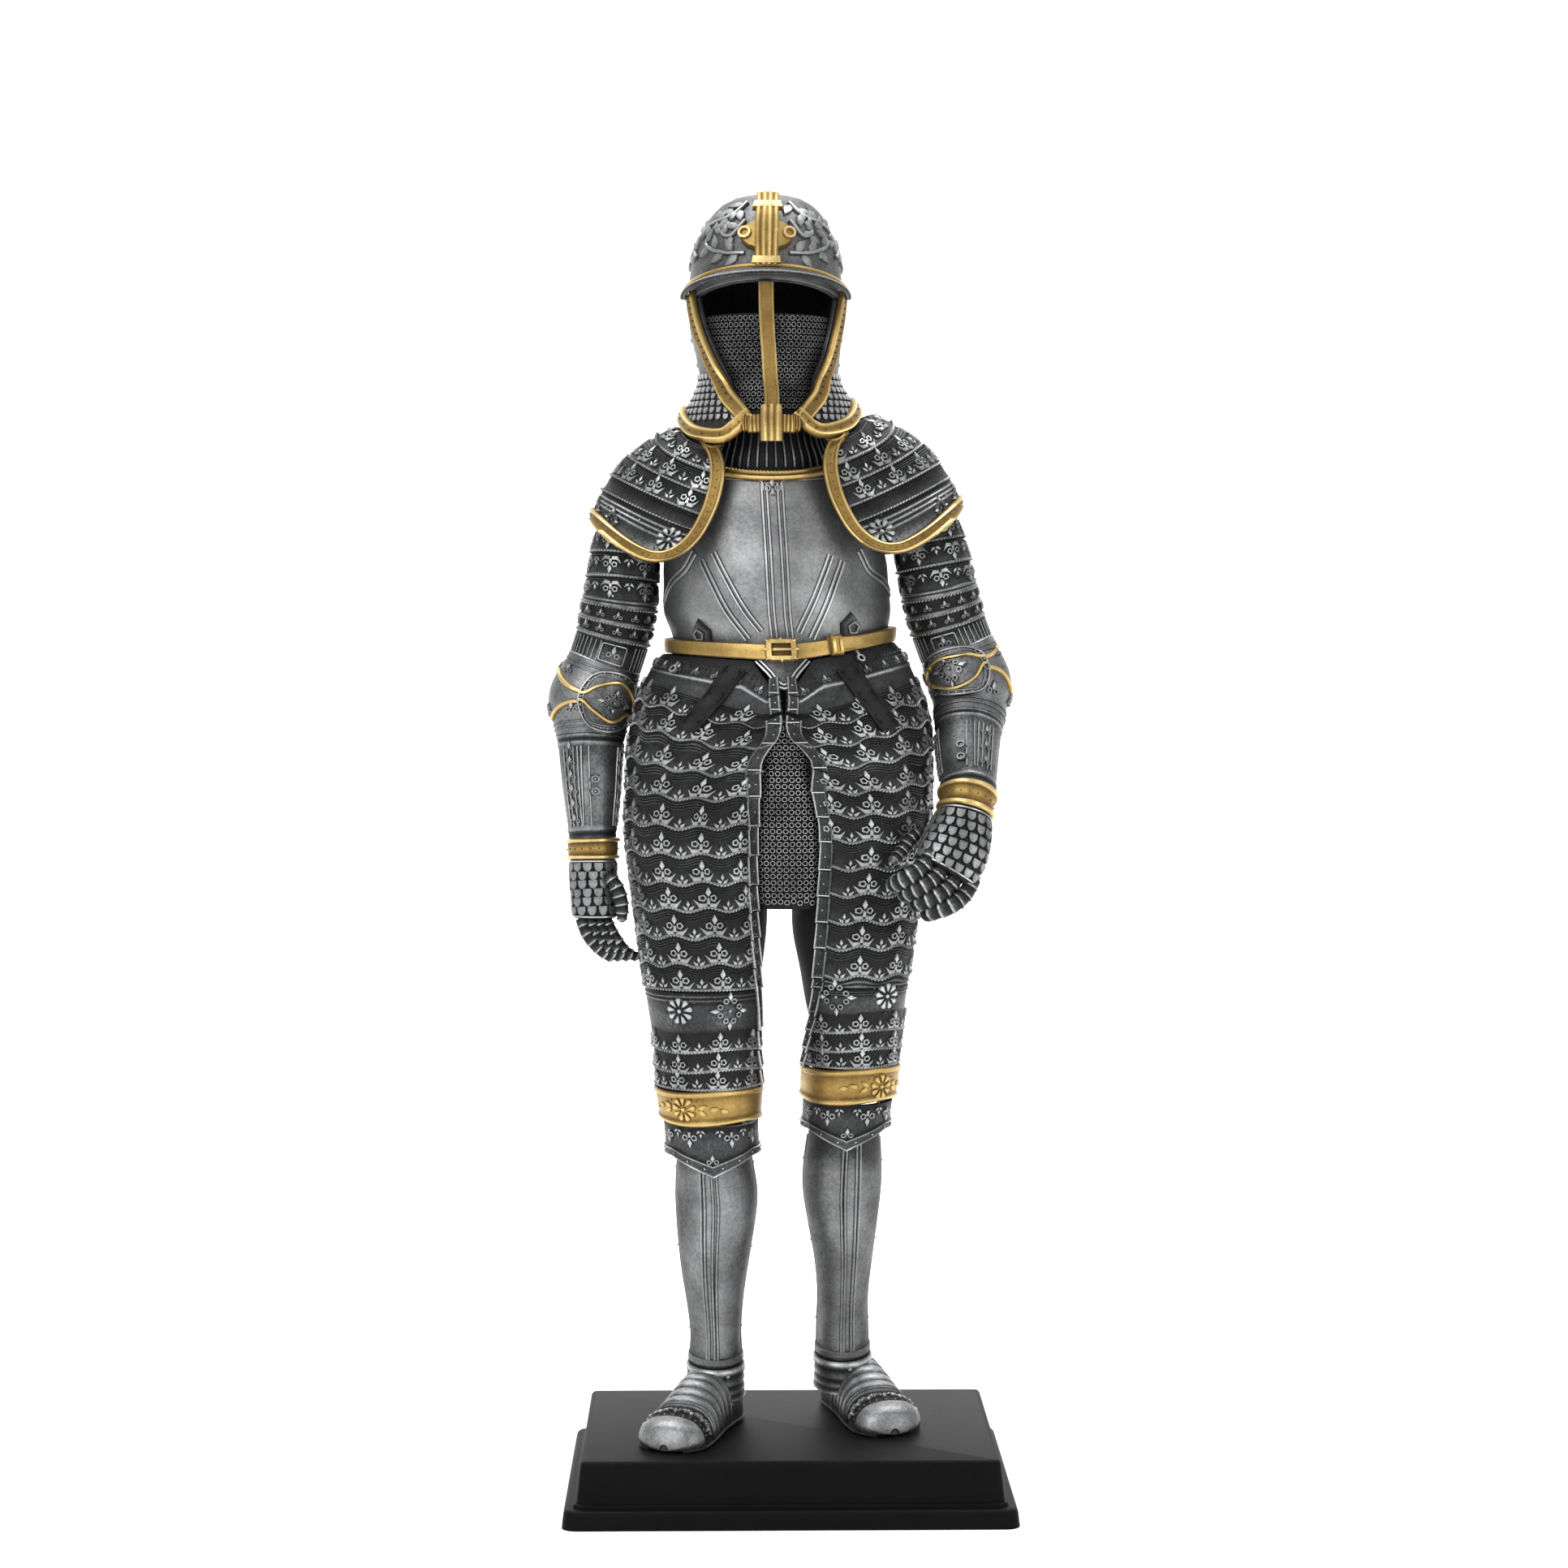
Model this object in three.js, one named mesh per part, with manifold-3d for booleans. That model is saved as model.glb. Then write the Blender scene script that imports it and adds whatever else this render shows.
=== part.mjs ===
// A miniature suit of plate armour that stands on a stepped plinth, 1:6 scale, in millimetres.
// +Z is up, the suit faces -Y, and the origin is the middle of the plinth's underside.
// Every plate is a thin hollow wall. Limbs are sections stacked on a centre line, and what lies on a
// limb is made from the same sections, moved out.
import * as THREE from "three";
import { mergeVertices } from "three/addons/utils/BufferGeometryUtils.js";
import Module from "manifold-3d";

const wasm = await Module();
wasm.setup();

// ---- Driving sizes -------------------------------------------------------------------------------
const WALL = 1.0; // plate thickness
const GAP = 0.35; // clearance between neighbouring pieces
const DEEP = 5; // y of the body's middle plane
const PLINTH = { width: 106.6, depth: 79.4, foot: 4.4, blockWidth: 101, blockDepth: 73, taper: 1.5, top: 14.9 };

const DEG = Math.PI / 180;
const FINISH = {
  steel: { color: 0x7c7e80, roughness: 0.42, metalness: 0.85 },
  dark_steel: { color: 0x4c4e50, roughness: 0.5, metalness: 0.8 },
  gilt: { color: 0xb08d3c, roughness: 0.38, metalness: 0.85 },
  mail: { color: 0x3a3c3f, roughness: 0.55, metalness: 0.7 },
  cloth: { color: 0x101012, roughness: 0.9, metalness: 0 },
  plinth: { color: 0x0d0d0e, roughness: 0.6, metalness: 0 },
};

// ---- Tables of sections --------------------------------------------------------------------------
// Each row is a level cut: height, centre, half width, half depth and squareness (2 is an ellipse).
const table = (names, rows) =>
  rows.map((row) => Object.fromEntries(names.split(" ").map((name, i) => [name, row[i]])));

// Breast and back: the front is deeper than the back, and half_turn is where the armhole cuts each level.
const TORSO = table("z x w front back half_turn", [
  [252.0, -4.4, 15.0, 13.0, 11.0, 40],
  [246.5, -4.3, 18.5, 17.0, 13.5, 36],
  [240.0, -4.0, 24.0, 20.0, 15.5, 44],
  [233.0, -3.6, 26.2, 22.0, 17.0, 58],
  [226.0, -3.2, 27.0, 23.8, 17.6, 78],
  [219.0, -2.9, 27.2, 25.0, 17.2, 89.5],
  [212.0, -2.6, 27.4, 25.6, 16.2, 89.5],
  [206.0, -2.0, 25.9, 25.2, 15.2, 89.5],
  [201.0, -1.7, 26.2, 25.6, 15.6, 89.5],
  [194.0, -1.3, 28.4, 27.0, 17.0, 89.5],
]);

// Head: the bowl, cheeks and neck flare of the helmet share one outer form.
const HEAD = table("z x w front back", [
  [312.9, -4.8, 0.01, 0.01, 0.01],
  [311.2, -4.9, 8.2, 9.5, 9.5],
  [307.4, -5.0, 13.2, 15.4, 15.4],
  [302.5, -5.2, 16.0, 18.8, 19.0],
  [297.0, -5.3, 17.7, 20.8, 21.3],
  [291.0, -5.4, 18.4, 21.8, 22.4],
  [285.0, -5.4, 18.6, 22.0, 22.6],
  [279.0, -5.2, 18.3, 21.6, 22.0],
  [273.0, -4.8, 17.3, 20.4, 20.2],
  [267.5, -4.5, 16.8, 19.0, 18.4],
  [263.5, -4.2, 18.6, 19.4, 18.8],
  [259.5, -4.2, 20.5, 20.8, 20.2],
  [256.0, -4.2, 21.6, 22.4, 21.4],
  [252.5, -4.2, 22.2, 23.6, 22.2],
]);

// Right arm (on -X), hanging, and left arm (on +X), bent forward.
const ARM_R = table("z x y rx ry", [
  [236.0, -37.2, 5.0, 7.0, 8.6],
  [228.0, -38.9, 5.0, 7.9, 9.4],
  [221.0, -39.9, 5.1, 8.3, 9.7],
  [213.0, -40.9, 5.4, 8.9, 9.8],
  [205.0, -42.6, 5.8, 8.7, 9.4],
  [198.0, -44.9, 6.0, 8.8, 9.2],
  [190.5, -47.5, 5.6, 10.2, 9.8],
  [184.0, -47.7, 4.4, 8.4, 8.8],
  [176.0, -47.7, 3.0, 7.5, 8.0],
  [168.0, -47.5, 1.6, 6.8, 7.2],
  [161.0, -47.3, 0.6, 5.9, 6.4],
  [155.0, -47.1, 0.0, 5.4, 5.8],
  [148.0, -47.0, -0.8, 5.2, 4.6],
  [140.0, -46.6, -1.8, 5.0, 3.6],
]);
const ARM_L = table("z x y rx ry", [
  [238.0, 32.2, 5.0, 6.6, 8.4],
  [230.0, 33.8, 5.2, 8.2, 9.4],
  [222.0, 35.6, 5.6, 8.8, 9.8],
  [214.0, 37.4, 6.2, 9.0, 9.8],
  [206.0, 39.8, 6.8, 9.0, 9.6],
  [200.0, 42.2, 6.6, 9.1, 9.4],
  [194.0, 44.1, 5.0, 9.8, 9.8],
  [188.0, 43.9, 2.6, 8.3, 8.8],
  [181.0, 43.2, -1.6, 7.8, 8.2],
  [175.0, 43.0, -5.4, 7.2, 7.4],
  [170.0, 42.8, -8.8, 6.5, 6.7],
  [165.5, 42.0, -11.6, 5.9, 5.8],
  [161.0, 40.8, -13.8, 6.9, 5.0],
  [156.5, 39.2, -15.8, 7.8, 4.4],
  [152.0, 37.2, -17.4, 7.6, 3.8],
  [148.0, 34.6, -18.4, 7.2, 3.4],
]);

// Skirt and thigh plates: at the hip each half skirt is half a wide oval, which turns into the thigh's
// own tube. inner is the turn of the open inner edge, and tilt the rise of the plates per mm outward.
const LEG_R = table("z x y rx ry n inner", [
  [206.0, -1.9, 0.0, 26.4, 20.6, 2.0, -0.8],
  [203.0, -2.0, 0.0, 27.2, 21.0, 2.0, -0.8],
  [201.0, -2.2, 0.1, 29.0, 21.6, 2.0, -0.6],
  [197.0, -2.8, 0.4, 31.0, 22.4, 2.1, 0.5],
  [191.0, -4.6, 0.8, 31.8, 22.6, 2.2, 3.6],
  [184.0, -9.6, 1.6, 28.4, 22.2, 2.3, 12.7],
  [177.0, -15.2, 2.4, 23.6, 21.4, 2.4, 18],
  [170.0, -19.4, 2.8, 19.6, 20.4, 2.4, 36],
  [160.0, -21.7, 2.6, 17.6, 19.2, 2.4, 50],
  [146.0, -21.3, 1.8, 16.4, 17.8, 2.3, 53],
  [131.0, -20.6, 0.6, 15.2, 16.4, 2.2, 60],
  [118.0, -20.1, -0.4, 13.9, 15.0, 2.1, 72],
  [108.0, -19.7, -1.2, 12.8, 14.0, 2.0, 80],
  [98.0, -19.2, -1.6, 12.4, 13.4, 2.0, 88],
  [88.0, -18.6, -1.4, 11.3, 12.6, 2.0, 88],
  [76.0, -17.9, -0.8, 10.9, 12.0, 2.0, 88],
]);
const LEG_L = table("z x y rx ry n inner", [
  [208.0, -2.0, 0.0, 26.4, 20.6, 2.0, -0.8],
  [205.0, -1.8, 0.1, 27.2, 21.0, 2.0, -0.8],
  [202.0, -1.4, 0.2, 29.2, 21.6, 2.0, -0.6],
  [198.0, -0.8, 0.6, 30.6, 22.3, 2.1, 0.5],
  [191.0, 1.6, 1.4, 31.0, 22.6, 2.2, 3.4],
  [184.0, 6.2, 2.6, 28.0, 22.4, 2.3, 11.7],
  [177.0, 11.4, 3.8, 23.2, 21.8, 2.4, 12.5],
  [170.0, 15.2, 5.0, 19.4, 20.8, 2.4, 26.8],
  [160.0, 17.2, 5.8, 17.2, 19.4, 2.4, 31.4],
  [146.0, 16.6, 6.2, 16.0, 17.8, 2.3, 34],
  [131.0, 15.8, 5.8, 14.6, 16.2, 2.2, 39],
  [118.0, 15.7, 5.4, 12.9, 14.8, 2.1, 51],
  [108.0, 15.4, 5.2, 11.9, 13.8, 2.0, 70],
  [98.0, 14.9, 5.2, 11.3, 13.2, 2.0, 88],
  [88.0, 14.1, 5.6, 10.5, 12.4, 2.0, 88],
  [76.0, 13.5, 6.4, 10.6, 12.0, 2.0, 88],
]);

// Hose inside the thigh plates, nearer to the middle, where it shows between the legs.
const HOSE_R = table("z x y rx ry", [
  [164.0, -19.6, 4.4, 14.8, 13.2],
  [150.0, -18.8, 4.0, 14.0, 12.0],
  [141.0, -18.6, 3.6, 13.6, 11.4],
  [135.0, -18.4, 3.0, 13.3, 11.0],
  [124.0, -18.9, 1.8, 12.0, 10.2],
  [112.0, -19.6, 0.0, 10.4, 9.8],
  [100.0, -19.2, -1.0, 9.6, 9.6],
]);
const HOSE_L = table("z x y rx ry", [
  [164.0, 15.4, 6.4, 14.8, 13.2],
  [150.0, 14.8, 6.6, 14.2, 12.2],
  [141.0, 14.7, 6.8, 13.8, 11.8],
  [135.0, 14.6, 6.6, 13.4, 11.4],
  [124.0, 14.9, 6.2, 11.8, 10.6],
  [112.0, 15.4, 5.6, 10.0, 9.8],
  [100.0, 14.9, 5.4, 9.0, 9.2],
]);

// Greaves: shin and calf down to the ankle.
const SHIN_R = table("z x y rx ry", [
  [92.0, -18.3, -0.8, 8.2, 9.4],
  [83.0, -18.1, 0.1, 8.6, 9.8],
  [76.0, -17.7, 1.0, 9.4, 10.6],
  [70.0, -17.4, 1.7, 9.8, 10.8],
  [61.0, -17.7, 2.4, 9.0, 10.2],
  [52.0, -17.9, 2.8, 7.8, 9.0],
  [44.0, -17.8, 3.2, 6.6, 7.8],
  [37.0, -17.6, 3.6, 6.0, 7.2],
  [30.0, -17.6, 4.2, 6.3, 7.5],
  [20.0, -17.8, 5.0, 6.6, 8.2],
]);
const SHIN_L = table("z x y rx ry", [
  [92.0, 13.9, 5.8, 8.0, 9.4],
  [85.0, 13.7, 6.4, 8.7, 9.9],
  [77.0, 13.4, 7.9, 9.4, 10.6],
  [71.0, 13.3, 8.8, 9.4, 10.8],
  [63.0, 13.5, 9.6, 8.4, 10.0],
  [54.0, 13.7, 10.6, 7.0, 8.8],
  [45.0, 13.6, 11.6, 6.1, 7.7],
  [37.0, 13.5, 12.6, 6.2, 7.4],
  [30.0, 13.6, 13.4, 6.4, 7.7],
  [20.0, 13.8, 14.6, 6.6, 8.2],
]);

// Foot: level distance from the toe's tip, half width, height of the top and of the sole's edge.
const FOOT = table("z w top", [
  [0.0, 3.2, 3.2],
  [1.8, 6.4, 5.4],
  [5.0, 8.1, 6.8],
  [10.0, 8.3, 7.8],
  [16.0, 7.8, 9.6],
  [22.0, 7.1, 12.2],
  [28.0, 6.9, 13.4],
  [34.0, 7.0, 13.4],
  [38.0, 5.6, 12.6],
  [39.8, 3.2, 11.0],
]);
const SOLES = {
  r: { toe: [-29.6, -26.6], heel: [-15.2, 12.2] },
  l: { toe: [25.2, -12.6], heel: [13.6, 25.6] },
};

// Pauldron rows from the neck down. in_x, low and the depths belong to the front and back ends of a
// row, out_x and high to its outermost point. The left one is the mirror image, a little lifted.
const PAULDRON = table("z in_x out_x high front back", [
  [252.9, -19.2, -22.4, 254.2, 11.2, 10.4],
  [252.0, -19.6, -27.6, 256.2, 14.2, 13.2],
  [249.2, -16.0, -34.4, 252.4, 17.8, 16.2],
  [245.0, -14.6, -39.6, 248.4, 20.4, 18.4],
  [239.5, -15.2, -43.2, 243.8, 21.8, 19.6],
  [233.5, -17.2, -45.4, 240.0, 22.8, 20.4],
  [228.0, -19.8, -46.3, 237.3, 23.2, 20.8],
  [224.0, -23.2, -46.5, 235.8, 22.9, 20.6],
  [221.6, -28.0, -46.6, 234.8, 22.4, 20.4],
]);
const PAULDRON_MIRROR = -3.75;
const PAULDRON_LIFT = 3.0;
const PAULDRON_STRETCH = 0.06;
const RIM_WIDTH = 3.4;

// ---- Reading a table between its rows ------------------------------------------------------------
// A cubic through the rows, so that a stack of sections is one smooth form.
function reader(rows) {
  const keys = Object.keys(rows[0]);
  const slope = (key, i) => {
    const a = rows[Math.max(i - 1, 0)];
    const b = rows[Math.min(i + 1, rows.length - 1)];
    return (b[key] - a[key]) / (b.z - a.z);
  };
  const falling = rows[0].z > rows[rows.length - 1].z;
  return (z) => {
    let i = 0;
    while (i < rows.length - 2 && (falling ? z < rows[i + 1].z : z > rows[i + 1].z)) i++;
    const [a, b] = [rows[i], rows[i + 1]];
    const span = b.z - a.z;
    const t = Math.min(Math.max((z - a.z) / span, 0), 1);
    const section = {};
    for (const key of keys) {
      const [m0, m1] = [slope(key, i) * span, slope(key, i + 1) * span];
      section[key] =
        (2 * t ** 3 - 3 * t ** 2 + 1) * a[key] +
        (t ** 3 - 2 * t ** 2 + t) * m0 +
        (3 * t ** 2 - 2 * t ** 3) * b[key] +
        (t ** 3 - t ** 2) * m1;
    }
    return section;
  };
}

const power = (v, p) => Math.sign(v) * Math.abs(v) ** p;

// A surface takes (turn, height): turn 0 looks out to -Y, 90 to +X. Sections lie square to the centre line.
function limb(rows) {
  const at = reader(rows);
  return (turn, z) => {
    const s = at(z);
    const [up, down] = [at(z + 0.5), at(z - 0.5)];
    const axis = new THREE.Vector3(up.x - down.x, up.y - down.y, 1).normalize();
    const side = new THREE.Vector3(1, 0, 0).addScaledVector(axis, -axis.x).normalize();
    const ahead = new THREE.Vector3().crossVectors(side, axis);
    return new THREE.Vector3(s.x, s.y, z)
      .addScaledVector(side, s.rx * Math.sin(turn * DEG))
      .addScaledVector(ahead, s.ry * Math.cos(turn * DEG));
  };
}

// Level sections that may be squarer than an ellipse.
function thigh(rows) {
  const at = reader(rows);
  return (turn, z) => {
    const s = at(z);
    const across = s.rx * power(Math.sin(turn * DEG), 2 / s.n);
    return new THREE.Vector3(s.x + across, s.y - s.ry * power(Math.cos(turn * DEG), 2 / s.n), z);
  };
}

// Level sections with a front and a back of different depth.
function trunk(rows) {
  const at = reader(rows);
  return (turn, z) => {
    const s = at(z);
    const c = Math.cos(turn * DEG);
    return new THREE.Vector3(s.x + s.w * Math.sin(turn * DEG), DEEP - (c > 0 ? s.front : s.back) * c, z);
  };
}

// The point of a surface moved out along its normal. out_sign is -1 where the grid runs the other way round.
function movedOut(surface, u, v, out, outSign = 1) {
  const [du, dv] = [0.02, 0.01];
  const across = surface(u + du, v).sub(surface(u - du, v));
  const along = surface(u, v + dv).sub(surface(u, v - dv));
  const normal = across.cross(along).normalize();
  return surface(u, v).addScaledVector(normal, out * outSign);
}

// ---- Making solids -------------------------------------------------------------------------------
const spread = (from, to, steps) => Array.from({ length: steps + 1 }, (_, i) => from + ((to - from) * i) / steps);

function geometryOf(points, triangles) {
  const geometry = new THREE.BufferGeometry();
  geometry.setAttribute("position", new THREE.Float32BufferAttribute(points.flatMap((p) => p.toArray()), 3));
  geometry.setIndex(triangles);
  return geometry;
}

// A wall of even thickness between two grids of points: outer[row][column] and inner[row][column].
// around closes each row on itself.
function wallBetween(outer, inner, around) {
  const [rows, cols] = [outer.length, outer[0].length];
  const points = [...outer.flat(), ...inner.flat()];
  const id = (layer, r, c) => layer * rows * cols + r * cols + (c % cols);
  const triangles = [];
  const quad = (a, b, c, d) => triangles.push(a, b, c, a, c, d);
  const lastCol = around ? cols : cols - 1;
  for (let r = 0; r < rows - 1; r++) {
    for (let c = 0; c < lastCol; c++) {
      quad(id(0, r, c), id(0, r, c + 1), id(0, r + 1, c + 1), id(0, r + 1, c));
      quad(id(1, r, c), id(1, r + 1, c), id(1, r + 1, c + 1), id(1, r, c + 1));
    }
  }
  for (let c = 0; c < lastCol; c++) {
    quad(id(1, 0, c), id(1, 0, c + 1), id(0, 0, c + 1), id(0, 0, c));
    quad(id(0, rows - 1, c), id(0, rows - 1, c + 1), id(1, rows - 1, c + 1), id(1, rows - 1, c));
  }
  if (!around) {
    for (let r = 0; r < rows - 1; r++) {
      quad(id(1, r, 0), id(0, r, 0), id(0, r + 1, 0), id(1, r + 1, 0));
      quad(id(0, r, cols - 1), id(1, r, cols - 1), id(1, r + 1, cols - 1), id(0, r + 1, cols - 1));
    }
  }
  const geometry = geometryOf(points, triangles);
  return facingOut(geometry);
}

// A shell on a surface. place(i, j) gives the surface's (u, v) for column i and row j, each from 0 to 1.
function shell({ surface, place, cols, rows, around = false, out = 0, wall = WALL, outSign = 1 }) {
  const grid = (layer) =>
    spread(0, 1, rows).map((j) =>
      spread(0, 1, cols)
        .slice(0, around ? cols : cols + 1)
        .map((i) => {
          const [u, v] = place(i, j);
          return movedOut(surface, u, v, layer, outSign);
        }),
    );
  return wallBetween(grid(out), grid(out - wall), around);
}

// A closed solid through rings of points, with flat or pointed ends.
function loft(rings) {
  const cols = rings[0].length;
  const points = rings.flat();
  const middle = (ring) => ring.reduce((sum, p) => sum.add(p), new THREE.Vector3()).divideScalar(cols);
  points.push(middle(rings[0]), middle(rings[rings.length - 1]));
  const [first, last] = [points.length - 2, points.length - 1];
  const triangles = [];
  for (let r = 0; r < rings.length - 1; r++) {
    for (let c = 0; c < cols; c++) {
      const [a, b] = [r * cols + c, r * cols + ((c + 1) % cols)];
      triangles.push(a, b, b + cols, a, b + cols, a + cols);
    }
  }
  for (let c = 0; c < cols; c++) {
    const next = (c + 1) % cols;
    triangles.push(first, next, c);
    triangles.push(last, (rings.length - 1) * cols + c, (rings.length - 1) * cols + next);
  }
  return facingOut(geometryOf(points, triangles));
}

// Turns every face round if the solid came out inside out.
function facingOut(geometry) {
  const p = geometry.getAttribute("position");
  const index = geometry.index.array;
  const [a, b, c] = [new THREE.Vector3(), new THREE.Vector3(), new THREE.Vector3()];
  let volume = 0;
  for (let i = 0; i < index.length; i += 3) {
    a.fromBufferAttribute(p, index[i]);
    b.fromBufferAttribute(p, index[i + 1]);
    c.fromBufferAttribute(p, index[i + 2]);
    volume += a.dot(b.cross(c));
  }
  if (volume < 0) for (let i = 0; i < index.length; i += 3) [index[i + 1], index[i + 2]] = [index[i + 2], index[i + 1]];
  return geometry;
}

function solidOf(geometry) {
  const bare = new THREE.BufferGeometry();
  bare.setAttribute("position", geometry.getAttribute("position"));
  if (geometry.index) bare.setIndex(geometry.index);
  const merged = mergeVertices(bare, 1e-4);
  return new wasm.Manifold(
    new wasm.Mesh({
      numProp: 3,
      vertProperties: new Float32Array(merged.attributes.position.array),
      triVerts: new Uint32Array(merged.index.array),
    }),
  );
}

function geometryFrom(solid) {
  const mesh = solid.getMesh();
  const points = [];
  for (let i = 0; i < mesh.numVert; i++) {
    points.push(new THREE.Vector3(...mesh.vertProperties.subarray(i * mesh.numProp, i * mesh.numProp + 3)));
  }
  return geometryOf(points, [...mesh.triVerts]);
}

const cut = (geometry, ...tools) =>
  geometryFrom(tools.reduce((left, tool) => left.subtract(solidOf(tool)), solidOf(geometry)));
const join = (...pieces) => geometryFrom(pieces.map(solidOf).reduce((sum, piece) => sum.add(piece)));

// The filled form of a limb between two heights, moved out: it cuts clearance for what lies inside or outside.
const filled = (surface, top, bottom, out, { cols = 20, rows = 6 } = {}) =>
  loft(
    spread(bottom, top, rows).map((z) => spread(0, 360, cols).slice(0, cols).map((turn) => movedOut(surface, turn, z, out))),
  );

// A round rod along points with a radius at each, its ends closed.
function rod(path, radii, sides = 8) {
  const curve = new THREE.CatmullRomCurve3(path.map((p) => new THREE.Vector3(...p)));
  const frames = curve.computeFrenetFrames(path.length - 1, false);
  return loft(
    path.map((p, i) =>
      spread(0, 360, sides)
        .slice(0, sides)
        .map((a) =>
          new THREE.Vector3(...p)
            .addScaledVector(frames.normals[i], radii[i] * Math.cos(a * DEG))
            .addScaledVector(frames.binormals[i], radii[i] * Math.sin(a * DEG)),
        ),
    ),
  );
}

// ---- The suit ------------------------------------------------------------------------------------
const suit = new THREE.Group();
function add(name, geometry, finish) {
  const mesh = new THREE.Mesh(geometry, new THREE.MeshStandardMaterial(FINISH[finish]));
  mesh.name = name;
  suit.add(mesh);
  return geometry;
}

const SIDES = [
  { tag: "r", sign: -1, arm: ARM_R, leg: LEG_R, hose: HOSE_R, shin: SHIN_R, sole: SOLES.r },
  { tag: "l", sign: 1, arm: ARM_L, leg: LEG_L, hose: HOSE_L, shin: SHIN_L, sole: SOLES.l },
].map(({ tag, sign, arm, leg, hose, shin, sole }) => ({
  tag,
  sign,
  sole,
  arm: limb(arm),
  leg: thigh(leg),
  legAt: reader(leg),
  hose: limb(hose),
  shin: limb(shin),
}));
const torso = trunk(TORSO);
const torsoAt = reader(TORSO);
const head = trunk(HEAD);

// Plinth: a bevelled foot, a cove and a tapered block, as stacked rounded rectangles.
function roundedRectangle(width, depth, z, corner) {
  const ring = [];
  const [w, d] = [width / 2 - corner, depth / 2 - corner];
  for (const [sx, sy, from] of [[1, -1, -90], [1, 1, 0], [-1, 1, 90], [-1, -1, 180]]) {
    for (const a of spread(from, from + 90, 3)) {
      ring.push(new THREE.Vector3(sx * w + corner * Math.cos(a * DEG), sy * d + corner * Math.sin(a * DEG), z));
    }
  }
  return ring;
}
{
  const { width, depth, foot, blockWidth, blockDepth, taper, top } = PLINTH;
  const ring = (shrink, z, corner = 3.2) => roundedRectangle(width - 2 * shrink, depth - 2 * shrink, z, corner);
  const block = (shrink, z) => roundedRectangle(blockWidth - 2 * shrink, blockDepth - 2 * shrink, z, 2.4);
  add(
    "plinth",
    loft([
      ring(0.9, 0),
      ring(0, 0.9),
      ring(0, foot - 0.9),
      ring(0.9, foot),
      block(-0.3, foot + 0.2),
      block(0, foot + 1.2),
      block(taper, top - 0.5),
      block(taper + 0.5, top),
    ]),
    "plinth",
  );
}

// A patch of a surface. left and right are turns, or functions of height that give them; top and bottom
// are heights, or functions of turn.
const value = (x, t) => (typeof x === "function" ? x(t) : x);
const mix = (a, b, t) => a + (b - a) * t;
function patch(surface, { left, right, top, bottom, cols = 12, rows = 3, out = 0, wall = WALL, around = false }) {
  const place = (i, j) => {
    let turn = mix(value(left, value(top, 0)), value(right, value(top, 0)), i);
    let z = 0;
    for (let pass = 0; pass < 3; pass++) {
      z = mix(value(top, turn), value(bottom, turn), j);
      turn = mix(value(left, z), value(right, z), i);
    }
    return [turn, z];
  };
  return shell({ surface, place, cols, rows, around, out, wall });
}
const ring = (surface, options) => patch(surface, { left: 0, right: 360, around: true, cols: 14, ...options });

// Helmet: bowl, peak, cheeks that leave the face open, and a neck guard.
const FACE_EDGE = reader(
  table("z r l", [
    [291.0, 66, 68],
    [288.0, 62, 66],
    [280.0, 54, 57],
    [272.0, 45, 48],
    [265.0, 30, 33],
    [259.5, 15, 18],
    [256.0, 12, 14],
    [252.0, 12, 14],
  ]),
);
const HELMET_LOW = reader(table("z low", [[0, 256.3], [16, 256.3], [30, 252.5], [52, 253.2], [82, 257.6], [105, 258.4], [180, 255]]));
const helmetLow = (turn) => {
  const t = turn > 180 ? turn - 360 : turn;
  return HELMET_LOW(Math.abs(t)).low + 2.2 * Math.max(Math.sin(t * DEG), 0);
};
const brow = (turn) => 284.5 + 5.5 * Math.max(Math.cos(turn * DEG), -1.2);
{
  const dome = (out, drop) =>
    loft(
      [0, 0.25, 0.5, 0.72, 0.9, 1].map((t) =>
        spread(0, 360, 18)
          .slice(0, 18)
          .map((turn) => movedOut(head, turn, mix(brow(turn) - drop, 312.2, t), out)),
      ),
    );
  add("helmet_bowl", cut(dome(0, 0), dome(-WALL, 2)), "steel");
}
{
  // The peak springs from the bowl's edge and stands out over the face.
  const reach = (turn) => 4.6 * Math.max(Math.cos(turn * 1.14 * DEG), 0) ** 0.8;
  const peak = (turn, t) =>
    movedOut(head, turn, brow(turn) + 3.4 - 2.4 * t, GAP + 0.9 + (0.4 + reach(turn)) * t);
  const turns = spread(-76, 76, 16);
  const layer = (drop) =>
    [0, 0.5, 1].map((t) => turns.map((turn) => peak(turn, t).add(new THREE.Vector3(0, 0, drop))));
  add("helmet_peak", wallBetween(layer(0), layer(-0.95), false), "gilt");
}
{
  const bar = patch(head, { left: -8, right: 8, top: 309.6, bottom: 294.4, cols: 2, rows: 4, out: 1.7 });
  const lugs = patch(head, { left: -19, right: 19, top: 304.6, bottom: 296.6, cols: 4, rows: 1, out: 1.7 });
  add("brow_bracket", join(bar, lugs), "gilt");
}
add(
  "nasal_bar",
  patch(head, { left: -4.6, right: 4.6, top: 289.4, bottom: 260, cols: 2, rows: 5, out: GAP + 0.9, wall: 0.9 }),
  "gilt",
);
add(
  "chin_clasp",
  patch(head, { left: -13, right: 13, top: 259.6, bottom: 252.6, cols: 4, rows: 2, out: 2.95, wall: 0.9 }),
  "gilt",
);
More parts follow.
